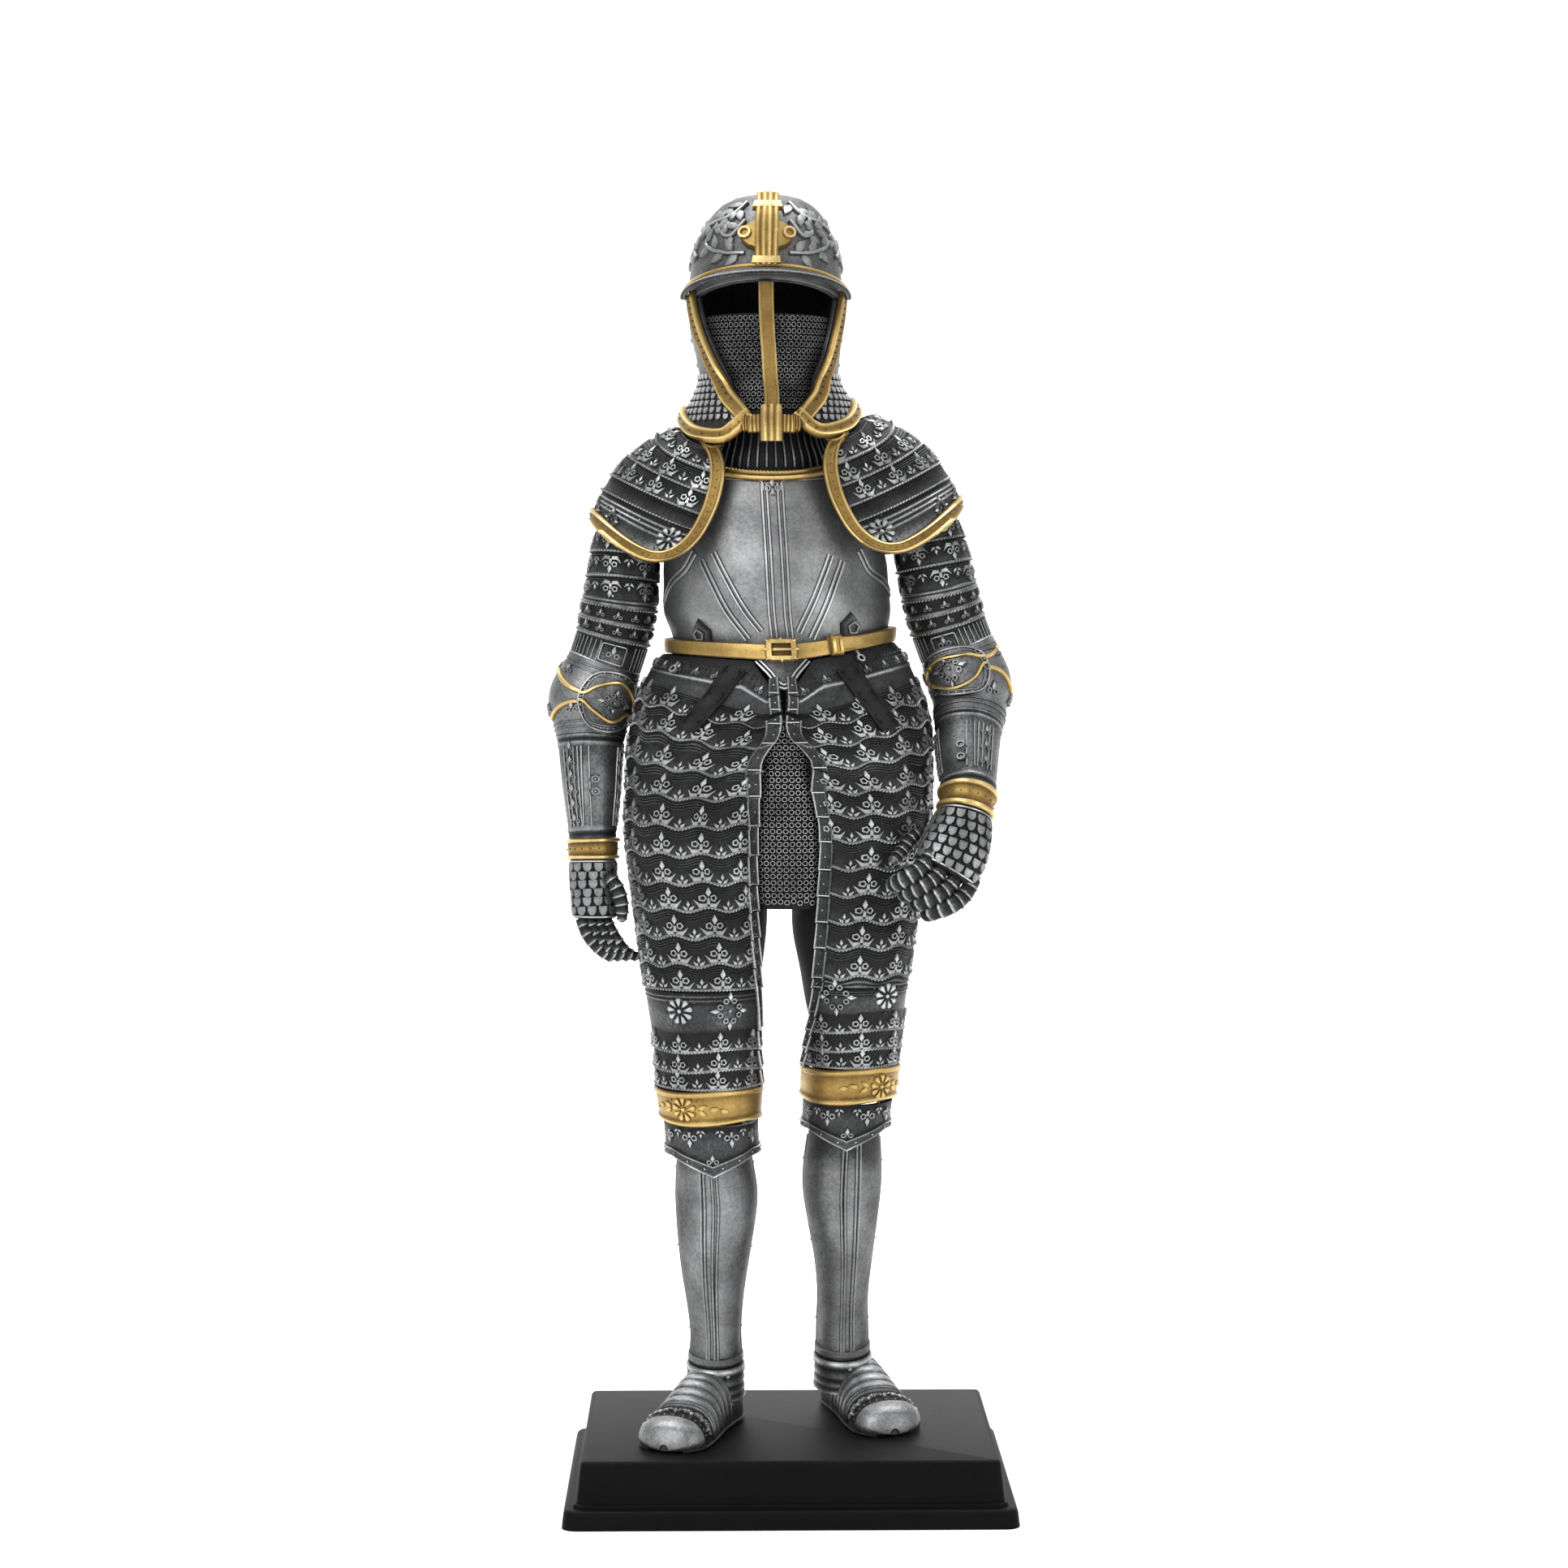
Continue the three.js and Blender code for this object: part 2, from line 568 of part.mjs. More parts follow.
for (const { tag, sign } of SIDES) {
  const edge = (z, more) => sign * (FACE_EDGE(z)[tag] + more);
  const nape = sign < 0 ? 360 - 96 : 96;
  const cheek = { left: (z) => edge(z, 0), right: sign * 95, top: (turn) => brow(turn) - GAP, bottom: helmetLow };
  add(`cheek_${tag}`, patch(head, { ...cheek, cols: 6, rows: 6 }), "steel");
  const onTop = { cols: 1, rows: 7, out: 1.7, wall: 0.8 };
  const faceRim = patch(head, {
    ...onTop,
    left: (z) => edge(z, 0),
    right: (z) => edge(z, 6.4),
    top: (turn) => brow(turn) - 1.2,
    bottom: (turn) => helmetLow(turn) + 0.2,
  });
  const lowRim = patch(head, {
    ...onTop,
    left: sign * (FACE_EDGE(254)[tag] + 2),
    right: sign * 94,
    top: (turn) => helmetLow(turn) + 2.7,
    bottom: helmetLow,
    cols: 8,
    rows: 1,
  });
  add(`cheek_rim_${tag}`, join(faceRim, lowRim), "gilt");
}
add(
  "neck_guard",
  patch(head, { left: 96.2, right: 263.8, top: (turn) => brow(turn) - GAP, bottom: helmetLow, cols: 10, rows: 4 }),
  "steel",
);
add(
  "mail_veil",
  patch(head, { left: -66, right: 66, top: 282.5, bottom: 258.5, cols: 10, rows: 4, out: -WALL - 1.1, wall: 0.9 }),
  "mail",
);
const NECK = table("z x w front back", [
  [258.5, -4.3, 12.5, 12.6, 12.0],
  [253.0, -4.3, 13.6, 14.6, 12.2],
  [248.5, -4.2, 15.6, 15.6, 12.0],
  [244.5, -4.2, 16.4, 15.4, 12.0],
]);
add("gorget", ring(trunk(NECK), { top: 257.5, bottom: 245.2, rows: 3, out: -0.2 }), "dark_steel");

// Breast and back, the roped neckline, the belt that covers the waist joint, and its buckle.
const beltMiddle = (turn) => {
  const t = turn > 180 ? turn - 360 : turn;
  const across = Math.sin(t * DEG);
  return across < 0 ? 203.1 - 1.4 * across : 203.1 + 4.2 * across ** 1.3;
};
const waistPoint = (turn) => 6.4 * Math.max(1 - Math.abs(turn) / 13, 0);
const neckline = (turn) => 246.2 - 1.4 * Math.max(1 - (turn / 40) ** 2, 0);
{
  const opening = (z) => Math.min(torsoAt(z).half_turn, 89.4);
  const armhole = { cols: 12, rows: 6 };
  const front = { left: (z) => -opening(z), right: opening, top: neckline, bottom: (t) => beltMiddle(t) - 1.6 - waistPoint(t) };
  add("breastplate", patch(torso, { ...armhole, ...front }), "steel");
  add(
    "neck_band",
    patch(torso, { left: -39, right: 39, top: (t) => neckline(t) + 0.5, bottom: (t) => neckline(t) - 1.7, cols: 9, rows: 1, out: GAP + 0.9, wall: 0.9 }),
    "gilt",
  );
  const rear = { left: (z) => 180 - opening(z) + 0.4, right: (z) => 180 + opening(z) - 0.4 };
  add("backplate", patch(torso, { ...armhole, cols: 12, rows: 4, ...rear, top: 246, bottom: (t) => beltMiddle(t) - 1.6 }), "steel");
}
add("belt", ring(torso, { top: (t) => beltMiddle(t) + 2.1, bottom: (t) => beltMiddle(t) - 2.1, cols: 24, rows: 1, out: 1.9 }), "gilt");
{
  const frame = { out: 3.3, wall: 1, rows: 1 };
  const plate = patch(torso, { ...frame, left: -8, right: 8.4, top: 206.2, bottom: 200.6, cols: 4 });
  const window = patch(torso, { left: -1.4, right: 5, top: 205, bottom: 201.8, cols: 3, rows: 1, out: 6, wall: 6 });
  add("buckle", cut(plate, window), "gilt");
  add("belt_keeper", patch(torso, { ...frame, left: 24, right: 29.5, top: 207.6, bottom: 201.8, cols: 2 }), "gilt");
}

// Skirt, tassets, thigh and knee plates, greaves and sabatons, with the dark hose that shows between them.
const fauldLow = (turn) => 188.7 + 7.4 * Math.abs(Math.sin(turn * DEG));
for (const { tag, sign, leg, legAt, hose, shin, sole } of SIDES) {
  // inner is the open edge beside the split; back the edge behind.
  const inner = (z, more = 0) => -sign * (legAt(z).inner + more);
  const back = (turn) => () => sign * turn;
  const top = (t) => beltMiddle(t) - 2.5 - waistPoint(t);
  add(`fauld_${tag}`, patch(leg, { left: (z) => inner(z), right: back(176), top, bottom: fauldLow, cols: 16, rows: 2 }), "dark_steel");
  const skirt = { left: (z) => inner(z), right: (z) => sign * (z > 172 ? 176 : 160), top: (t) => fauldLow(t) - 0.75 };
  add(`tasset_${tag}`, patch(leg, { ...skirt, bottom: 122.2, cols: 12, rows: 8 }), "dark_steel");
  const wrap = { left: (z) => inner(z), right: back(160), cols: 14 };
  // The left knee is bent a little, so its band and lame sit higher.
  const [bandTop, bandLow, tip] = sign < 0 ? [98.2, 90.2, 77.2] : [102.4, 94.2, 82.4];
  add(`thigh_plate_${tag}`, patch(leg, { ...wrap, top: 122.2 - GAP, bottom: bandTop + 0.4, rows: 3 }), "dark_steel");
  add(`knee_band_${tag}`, patch(leg, { ...wrap, top: bandTop, bottom: bandLow, rows: 1, out: 0.4 }), "gilt");
  const kneeEdge = (t) => mix(tip, tip + 4.8, Math.min(Math.abs(t) / 55, 1));
  add(`knee_lame_${tag}`, patch(leg, { left: -128, right: 128, top: bandLow - 0.4, bottom: kneeEdge, rows: 2 }), "dark_steel");
  add(`greave_${tag}`, ring(shin, { top: 88, bottom: 29.9, rows: 5 }), "steel");
  add(`hose_${tag}`, ring(hose, { top: 164, bottom: 100, cols: 12, rows: 5 }), "cloth");

  // Foot: sections along the sole from toe to heel; the ankle's collar is part of it.
  const toe = new THREE.Vector3(...sole.toe, 0);
  const along = new THREE.Vector3(...sole.heel, 0).sub(toe).normalize();
  const across = new THREE.Vector3(along.y, -along.x, 0);
  const foot = (inset) =>
    loft(
      FOOT.map(({ z, w, top: height }) => {
        const s = Math.min(Math.max(z, inset), 39.6 - inset);
        return spread(0, 180, 6).map((a) =>
          toe
            .clone()
            .addScaledVector(along, s)
            .addScaledVector(across, (w - inset) * power(Math.cos(a * DEG), 0.8))
            .setZ(PLINTH.top + GAP + inset + (height - 2 * inset) * power(Math.sin(a * DEG), 0.75)),
        );
      }),
    );
  const ankle = (out, low, high) => filled(shin, high, low, out, { cols: 12, rows: 1 });
  const outerFoot = join(foot(0), ankle(0.3, 22, 29.5));
  const innerFoot = join(foot(WALL), ankle(-0.7, 22, 31));
  add(`sabaton_${tag}`, cut(outerFoot, innerFoot), "dark_steel");
}
{
  // Mail that hangs between the tassets, and the straps that hold them.
  const MAIL = table("z x w front back", [
    [199.0, -1.4, 19.6, 21.6, 16.0],
    [186.0, -1.2, 19.2, 20.6, 16.0],
    [176.0, -0.8, 15.7, 19.0, 16.0],
    [168.0, -0.5, 16.0, 17.5, 15.0],
    [158.0, -0.4, 16.0, 16.0, 14.0],
    [148.0, -0.5, 15.6, 14.8, 12.0],
    [141.0, -0.6, 14.8, 14.0, 11.0],
  ]);
  const veil = trunk(MAIL);
  add("mail_skirt", patch(veil, { left: -35, right: 35, top: 198, bottom: 141, cols: 6, rows: 6, wall: 0.9 }), "mail");
}
for (const { tag, sign, leg } of SIDES) {
  const from = sign < 0 ? 14 : 22;
  const slant = (z) => sign * (from + (198 - z) * 0.62);
  const strap = { left: slant, right: (z) => slant(z) + sign * 11, top: 198, bottom: 184.4, cols: 2, rows: 4 };
  add(`strap_${tag}`, patch(leg, { ...strap, out: GAP + 0.9, wall: 0.9 }), "cloth");
}

// Arms: sleeve, upper arm, fluted cannon, elbow cup with its wing, forearm and gilt cuff.
for (const { tag, sign, arm } of SIDES) {
  const outside = (from, to) => ({ left: sign * from, right: sign * to });
  const at = sign < 0 ? 0 : 3;
  add(`rerebrace_${tag}`, patch(arm, { ...outside(-118, 206), top: 235, bottom: 214.6 + at, cols: 14, rows: 3 }), "dark_steel");
  add(`upper_cannon_${tag}`, ring(arm, { top: 214.2 + at, bottom: 199.4 + at, cols: 16, rows: 2 }), "dark_steel");
  add(`couter_${tag}`, ring(arm, { top: 199 + at, bottom: 182.6 + at, cols: 14, rows: 3, out: 0.4 }), "dark_steel");
  add(`vambrace_${tag}`, ring(arm, { top: 182.2 + at, bottom: tag === "r" ? 158 : 169.6, rows: 3 }), "dark_steel");
}
{
  // Elbow wings: a rounded plate over the bend of each elbow, a disc laid on the limb.
  const disc = (surface, turn, z, halfTurn, halfHeight, out) =>
    shell({
      surface,
      cols: 5,
      rows: 5,
      out,
      place: (i, j) => {
        const [a, b] = [2 * i - 1, 1 - 2 * j];
        return [turn + halfTurn * a * Math.sqrt(1 - b * b * 0.45), z + halfHeight * b * Math.sqrt(1 - a * a * 0.45)];
      },
    });
  add("couter_wing_r", disc(SIDES[0].arm, 24, 190.4, 39, 8.8, 2.1), "dark_steel");
  add("couter_wing_l", disc(SIDES[1].arm, -21, 196.4, 44, 8.8, 2.1), "dark_steel");
}
{
  // Right hand hangs half open; the left is closed round a rod that is not there.
  const [right, left] = [SIDES[0].arm, SIDES[1].arm];
  const cuff = { out: 0.4, rows: 1, cols: 16 };
  add("cuff_r", ring(right, { ...cuff, top: 157.6, bottom: 152.8 }), "gilt");
  add("cuff_l", ring(left, { ...cuff, top: 169.2, bottom: 164.8 }), "gilt");
  add("gauntlet_r", ring(right, { top: 152.4, bottom: 138.6, rows: 3, cols: 14 }), "dark_steel");
  add("gauntlet_l", ring(left, { top: 164.2, bottom: 151, rows: 3, cols: 14 }), "dark_steel");
  const finger = (points, girth = 1) => rod(points, [1.25 * girth, 1.4 * girth, 1.35 * girth, girth], 6);
  const r = [0, 1, 2, 3].map((k) => {
    const [x, y] = [-50.0 + 2.0 * k, -3.8 + 0.7 * k];
    return finger([[x, y, 137.5], [x + 1.8, y - 0.8, 134.6], [x + 4.6, y - 0.6, 131.2 - 0.2 * k], [x + 7.4, y + 0.4, 129]]);
  });
  add("fingers_r", join(...r), "dark_steel");
  const l = [0, 1, 2, 3].map((k) => {
    const [x, z] = [31.4 + 3.2 * k, 152.4 - 2.3 * k];
    const bend = [[x, -19.6, z], [x - 3.4, -20.6, z - 2.4], [x - 6 - 0.5 * k, -19, z - 4], [x - 6.8 - 0.5 * k, -14.8, z - 4.8]];
    return finger(bend, 1.5);
  });
  add("fingers_l", join(...l), "dark_steel");
  add("thumb_l", rod([[31.6, -12.4, 160.4], [28.9, -13.2, 158.2], [26.6, -14.6, 155.4], [24.6, -16.4, 153.4]], [1.4, 1.7, 1.6, 1.1], 7), "dark_steel");
  add("thumb_r", rod([[-43.2, -5.6, 149.5], [-41, -6.6, 146], [-39.9, -6.9, 142], [-39.9, -6.7, 138.6]], [1.3, 1.6, 1.5, 1], 8), "dark_steel");
}

// Pauldrons: rows that arch from the breast over the shoulder to the back, with a gilt rim laid on.
for (const { tag, sign } of SIDES) {
  const at = reader(PAULDRON);
  const shoulder = (a, z) => {
    const s = at(z);
    const [c, n] = [Math.cos(a * DEG), Math.sin(a * DEG)];
    const x = s.in_x + (s.out_x - s.in_x) * Math.max(c, 0);
    const y = DEEP + (n < 0 ? s.front : s.back) * n;
    const height = mix(z, s.high, c * c);
    return sign < 0
      ? new THREE.Vector3(x, y, height)
      : new THREE.Vector3(
          2 * PAULDRON_MIRROR - x - PAULDRON_STRETCH * (x + 14.4),
          y,
          height + PAULDRON_LIFT * (0.5 + 0.5 * c),
        );
  };
  const [from, to] = [252.9, 221.8];
  const rimFrom = 250.6;
  const plate = { surface: shoulder, outSign: sign, out: 0 };
  const end = 89.5;
  add(
    `pauldron_${tag}`,
    shell({ ...plate, cols: 14, rows: 5, place: (i, j) => [mix(-end, end, i), mix(from, to, j)] }),
    "dark_steel",
  );
  const path = (i, inset, rise) => {
    const s = i * 3;
    const [a, bottom] = [end - inset, to + rise];
    if (s < 1) return [-a, mix(rimFrom, bottom, s)];
    if (s < 2) return [mix(-a, a, s - 1), bottom];
    return [a, mix(bottom, rimFrom, s - 2)];
  };
  add(
    `pauldron_rim_${tag}`,
    shell({
      ...plate,
      out: 1.8,
      wall: 0.8,
      cols: 21,
      rows: 1,
      place: (i, j) => {
        const [p, q] = [path(i, 0, 0), path(i, 8, 3)];
        return [mix(p[0], q[0], j), mix(p[1], q[1], j)];
      },
    }),
    "gilt",
  );
}

export default suit;
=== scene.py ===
import math

import bmesh
import bpy
import numpy as np
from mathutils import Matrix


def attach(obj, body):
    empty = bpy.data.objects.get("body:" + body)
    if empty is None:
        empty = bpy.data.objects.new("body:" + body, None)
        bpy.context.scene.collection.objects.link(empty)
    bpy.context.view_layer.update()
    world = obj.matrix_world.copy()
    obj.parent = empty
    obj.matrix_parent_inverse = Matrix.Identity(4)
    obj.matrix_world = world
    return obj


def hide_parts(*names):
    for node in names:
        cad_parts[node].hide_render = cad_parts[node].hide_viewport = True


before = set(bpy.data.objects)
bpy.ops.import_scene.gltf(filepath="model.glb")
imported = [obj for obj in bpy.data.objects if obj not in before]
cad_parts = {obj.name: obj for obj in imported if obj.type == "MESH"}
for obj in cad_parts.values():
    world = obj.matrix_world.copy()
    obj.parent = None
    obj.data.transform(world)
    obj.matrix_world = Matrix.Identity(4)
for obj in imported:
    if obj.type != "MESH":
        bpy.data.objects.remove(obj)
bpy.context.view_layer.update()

# A miniature suit of plate armour on a plinth. Shapes are worked out in millimetres, +Z up, the suit
# faces -Y, and MM turns them into metres when a piece is finished.
MM = 0.001
DEEP = 5  # how far the trunk's and head's middle lies behind the origin
WALL = 1
INNER_TONE = 0.1  # the relief of a piece's inner wall
SHARP_EDGE = 38  # degrees between faces from which an edge stays sharp
ROPE_LEAN = 38  # degrees by which a rope's turns lean
FLEUR_PITCH = 9.6  # from one crowned fleur to the next
WAVE = 0.55  # how far a tasset's edge rises under each crowned fleur
SINK = 0.3  # how far an ornament reaches down into its plate
SORT_WAY = (1, 10.3, 107.9)  # a direction in which no two points of a blank lie level
HEAD_MIDDLE = np.array([-5, DEEP, 0])


# ---- Reading a table of sections -----------------------------------------------------------------
def reader(rows):
    """A cubic through the rows of a table whose first column is the height."""
    t = np.array(rows, float)
    z, n = t[:, 0], len(rows)
    before, after = np.maximum(np.arange(n) - 1, 0), np.minimum(np.arange(n) + 1, n - 1)
    slope = (t[after] - t[before]) / (z[after] - z[before])[:, None]
    way = -1 if z[0] > z[-1] else 1

    def at(height):
        h = np.asarray(height, float)
        i = np.clip(np.searchsorted(way * z, way * h) - 1, 0, n - 2)
        span = (z[i + 1] - z[i])[..., None]
        s = np.clip((h - z[i])[..., None] / span, 0, 1)
        row = (
            (2 * s**3 - 3 * s**2 + 1) * t[i]
            + (s**3 - 2 * s**2 + s) * slope[i] * span
            + (3 * s**2 - 2 * s**3) * t[i + 1]
            + (s**3 - s**2) * slope[i + 1] * span
        )
        return np.moveaxis(row, -1, 0)

    return at


def unit(v):
    return v / np.maximum(np.linalg.norm(v, axis=-1, keepdims=True), 1e-12)


def mix(a, b, t):
    return a + (b - a) * t


def power(v, p):
    return np.sign(v) * np.abs(v) ** p


def turned(turn):
    t = np.radians(turn)
    return np.sin(t), np.cos(t)


# A surface takes (turn, height): turn 0 looks out to -Y and 90 to +X. Turn, height and out are right-handed.
def limb(rows):
    """Sections square to a centre line: height, x, y, half width, half depth."""
    at = reader(rows)

    def surface(turn, z):
        turn, z = np.broadcast_arrays(np.asarray(turn, float), np.asarray(z, float))
        _, x, y, rx, ry = at(z)
        up, down = at(z + 0.5), at(z - 0.5)
        axis = unit(np.stack([up[1] - down[1], up[2] - down[2], np.ones_like(z)], -1))
        side = unit(np.array([1, 0, 0]) - axis * axis[..., :1])
        ahead = np.cross(side, axis)
        s, c = turned(turn)
        return np.stack([x, y, z], -1) + side * (rx * s)[..., None] + ahead * (ry * c)[..., None]

    return surface


def thigh(rows):
    """Level sections that may be squarer than an ellipse: height, x, y, half width, half depth, squareness, edge."""
    at = reader(rows)

    def surface(turn, z):
        turn, z = np.broadcast_arrays(np.asarray(turn, float), np.asarray(z, float))
        _, x, y, rx, ry, n, _ = at(z)
        s, c = turned(turn)
        return np.stack([x + rx * power(s, 2 / n), y - ry * power(c, 2 / n), z], -1)

    return surface


def trunk(rows):
    """Level sections with a front and a back of different depth: height, x, half width, front, back."""
    at = reader(rows)

    def surface(turn, z):
        turn, z = np.broadcast_arrays(np.asarray(turn, float), np.asarray(z, float))
        row = at(z)
        s, c = turned(turn)
        return np.stack([row[1] + row[2] * s, DEEP - np.where(c > 0, row[3], row[4]) * c, z], -1)

    return surface


def lifted(surface, turn, z, out):
    """Points of a surface, moved out along its normal."""
    across = surface(turn + 0.02, z) - surface(turn - 0.02, z)
    along = surface(turn, z + 0.01) - surface(turn, z - 0.01)
    return surface(turn, z) + unit(np.cross(across, along)) * np.asarray(out)[..., None]


def pace(surface, turn, z):
    """Millimetres for one degree of turn and for one unit of height."""
    across = np.linalg.norm(surface(turn + 0.5, z) - surface(turn - 0.5, z), axis=-1)
    along = np.linalg.norm(surface(turn, z + 0.2) - surface(turn, z - 0.2), axis=-1) / 0.4
    return np.maximum(across, 0.02), np.maximum(along, 0.2)


def read(x, t):
    return x(t) if callable(x) else x


def at_one(x, t):
    """What a number or a function gives at one place."""
    return float(np.ravel(read(x, np.array([float(t)])))[0])


def run_of(surface, line, turn):
    """Points of a level line at the given turns, and how far along it each of them lies."""
    p = surface(turn, np.broadcast_to(read(line, turn), turn.shape))
    return p, np.concatenate([[0], np.cumsum(np.linalg.norm(np.diff(p, axis=0), axis=1))])


# ---- Blanks: plain sheets and tubes that are bent to their surface -------------------------------
blanks = {}


def points_of(mesh):
    co = np.empty(len(mesh.vertices) * 3)
    mesh.vertices.foreach_get("co", co)
    return co.reshape(-1, 3)


def keep(bm, name):
    """A mesh whose points and faces are sorted, so that they come in one order every time."""
    bmesh.ops.recalc_face_normals(bm, faces=bm.faces[:])
    bm.verts.sort(key=lambda v: v.co.dot(SORT_WAY))
    bm.faces.sort(key=lambda f: f.calc_center_median().dot(SORT_WAY))
    mesh = bpy.data.meshes.new(name)
    bm.to_mesh(mesh)
    bm.free()
    return mesh


def sheet_blank(cols, rows):
    """A flat sheet with two walls: its mesh, and each point's column, row from the bottom, and wall."""
    if ("sheet", cols, rows) not in blanks:
        bm = bmesh.new()
        bmesh.ops.create_grid(bm, x_segments=cols, y_segments=rows, size=0.5)
        bmesh.ops.solidify(bm, geom=bm.faces[:], thickness=0.1)
        mesh = keep(bm, "sheet_blank")
        co = points_of(mesh)
        place = [np.rint((co[:, 0] + 0.5) * cols).astype(int), np.rint((co[:, 1] + 0.5) * rows).astype(int)]
        blanks["sheet", cols, rows] = (mesh, *place, co[:, 2] < -0.05)
    return blanks["sheet", cols, rows]


def tube_blank(cols, rows):
    """An open tube with two walls, spun from a line of points, read as the sheet is."""
    if ("tube", cols, rows) not in blanks:
        bm = bmesh.new()
        line = [bm.verts.new((0, -1, r)) for r in range(rows + 1)]
        edges = [bm.edges.new(pair) for pair in zip(line, line[1:])]
        bmesh.ops.spin(bm, geom=line + edges, axis=(0, 0, 1), angle=math.tau, steps=cols, use_merge=True)
        bmesh.ops.recalc_face_normals(bm, faces=bm.faces[:])
        bmesh.ops.solidify(bm, geom=bm.faces[:], thickness=0.1)
        mesh = keep(bm, "tube_blank")
        co = points_of(mesh)
        around = np.rint(np.arctan2(co[:, 0], -co[:, 1]) / math.tau * cols).astype(int) % cols
        inner = np.hypot(co[:, 0], co[:, 1]) < 0.97
        blanks["tube", cols, rows] = (mesh, around, np.rint(co[:, 2]).astype(int), inner)
    return blanks["tube", cols, rows]


class Work:
    """A piece being built: bent blanks and laid ornament that end up in one mesh."""

    def __init__(self, surface=None, finish=0):
        self.parts, self.surface, self.finish = [], surface, finish

    def add(self, blank, points, relief, finish=None):
        points = np.asarray(points).reshape(-1, len(blank.vertices), 3)
        relief = np.broadcast_to(relief, points.shape[:2])
        self.parts.append((blank, points, relief, self.finish if finish is None else finish))

    def plate(self, left, right, levels, across, down, form=None, wall=WALL, out=0, ring=False, finish=None, on=None):
        """A sheet bent to the surface. left and right are turns, or functions of height. levels are edges from
        the top down, heights or functions of turn; down lists the rows by level, so that 1.5 lies halfway
        between levels 1 and 2. form(turn, z, row) gives each point's height and relief."""
        surface = on or self.surface
        down = np.linspace(0, len(levels) - 1, down + 1) if np.isscalar(down) else np.asarray(down, float)
        mesh, col, row, inner = (tube_blank if ring else sheet_blank)(across, len(down) - 1)
        share = col / across
        level = down[len(down) - 1 - row]
        k = np.minimum(level.astype(int), len(levels) - 2)

        def height_at(turn):
            edges = np.stack([np.broadcast_to(read(edge, turn), turn.shape) for edge in levels])
            at = np.arange(len(turn))
            return mix(edges[k, at], edges[k + 1, at], level - k)

        z = np.full(len(col), (at_one(levels[0], 0) + at_one(levels[-1], 0)) / 2)
        for _ in range(5):  # edges that depend on each other settle in a few rounds
            turn = mix(read(left, z), read(right, z), share)
            z = height_at(turn)
        height, relief = form(turn, z, level) if form else (0, 0.5)
        height, relief = np.broadcast_to(height, z.shape), np.broadcast_to(relief, z.shape)
        outs = np.where(inner, out - wall, out + height)
        self.add(mesh, lifted(surface, turn, z, outs), np.where(inner, INNER_TONE, relief), finish)

    def tube(self, levels, across, down, form=None, **options):
        """A plate that runs all the way round."""
        self.plate(0, 360, levels, across, down, form, ring=True, **options)

    def stamp(self, form, turn, z, size=1, lean=0, out=0, relief=(0.34, 0.88), finish=None, squash=1, on=None):
        """Copies of a flat form, wrapped on the surface: form is (mesh, points, tallest)."""
        surface = on or self.surface
        mesh, points, tallest = form
        turn, z, size, lean, out = (
            np.asarray(x, float)[..., None] for x in np.broadcast_arrays(turn, z, size, lean, out)
        )
        turn, z, size, lean, out = (np.atleast_2d(x) for x in (turn, z, size, lean, out))
        s, c = turned(lean)
        x = size * (c * points[:, 0] - s * points[:, 1])
        y = size * (s * points[:, 0] + c * points[:, 1])
        per_turn, per_z = pace(surface, turn, z)
        places = lifted(surface, turn + x / per_turn, z + y / per_z, out + squash * points[:, 2])
        shade = mix(relief[0], relief[1], np.clip(points[:, 2] / tallest, 0, 1))
        self.add(mesh, places, shade, finish)

    def laid(self, turn, z, profile, out=0, finish=None, relief=(0.15, 1), sink=0.35, rise=None, on=None):
        """A strip along a path on the surface. profile lists (offset to the path's right, height) from left to right,
        and may add a tone."""
        surface = on or self.surface
        turn, z = (np.asarray(v, float) for v in np.broadcast_arrays(turn, z))
        profile = np.asarray(profile, float)
        mesh, col, row, inner = sheet_blank(len(profile) - 1, len(turn) - 1)
        per_turn, per_z = pace(surface, turn, z)
        way = unit(np.stack([np.gradient(turn) * per_turn, np.gradient(z) * per_z], -1))
        offset, height = profile[col, 0], profile[col, 1]
        rise = np.ones(len(turn)) if rise is None else np.asarray(rise, float)
        u = turn[row] + offset * way[row, 1] / per_turn[row]
        v = z[row] - offset * way[row, 0] / per_z[row]
        outs = out + np.where(inner, -sink, height * rise[row])
        tallest = max(profile[:, 1].max(), 1e-6)
        tone = profile[col, 2] if len(profile[0]) > 2 else mix(*relief, np.clip(height / tallest, 0, 1))
        self.add(mesh, lifted(surface, u, v, outs), np.where(inner, INNER_TONE, tone), finish)

    def done(self, name, finishes=None, weld=0):
        bm = bmesh.new()
        finish = []
        for blank, points, _, which in self.parts:
            for _ in range(len(points)):
                bm.from_mesh(blank)
            finish.append(np.full(len(points) * len(blank.polygons), which))
        mesh = bpy.data.meshes.new(name)
        bm.to_mesh(mesh)
        bm.free()
        mesh.vertices.foreach_set("co", np.concatenate([p[1].reshape(-1) for p in self.parts]) * MM)
        mesh.polygons.foreach_set("material_index", np.concatenate(finish))
        layer = mesh.attributes.new("relief", "FLOAT", "POINT")
        layer.data.foreach_set("value", np.concatenate([p[2].reshape(-1) for p in self.parts]))
        if weld:
            bm = bmesh.new()
            bm.from_mesh(mesh)
            bmesh.ops.remove_doubles(bm, verts=bm.verts[:], dist=weld * MM)
            bm.to_mesh(mesh)
            bm.free()
        mesh.update()
        mesh.shade_smooth()
        mesh.set_sharp_from_angle(angle=math.radians(SHARP_EDGE))
        for material in finishes or METAL:
            mesh.materials.append(material)
        piece = bpy.data.objects.new(f"finished_{name}", mesh)
        bpy.context.scene.collection.objects.link(piece)
        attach(piece, "root")
        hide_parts(name)
        return piece


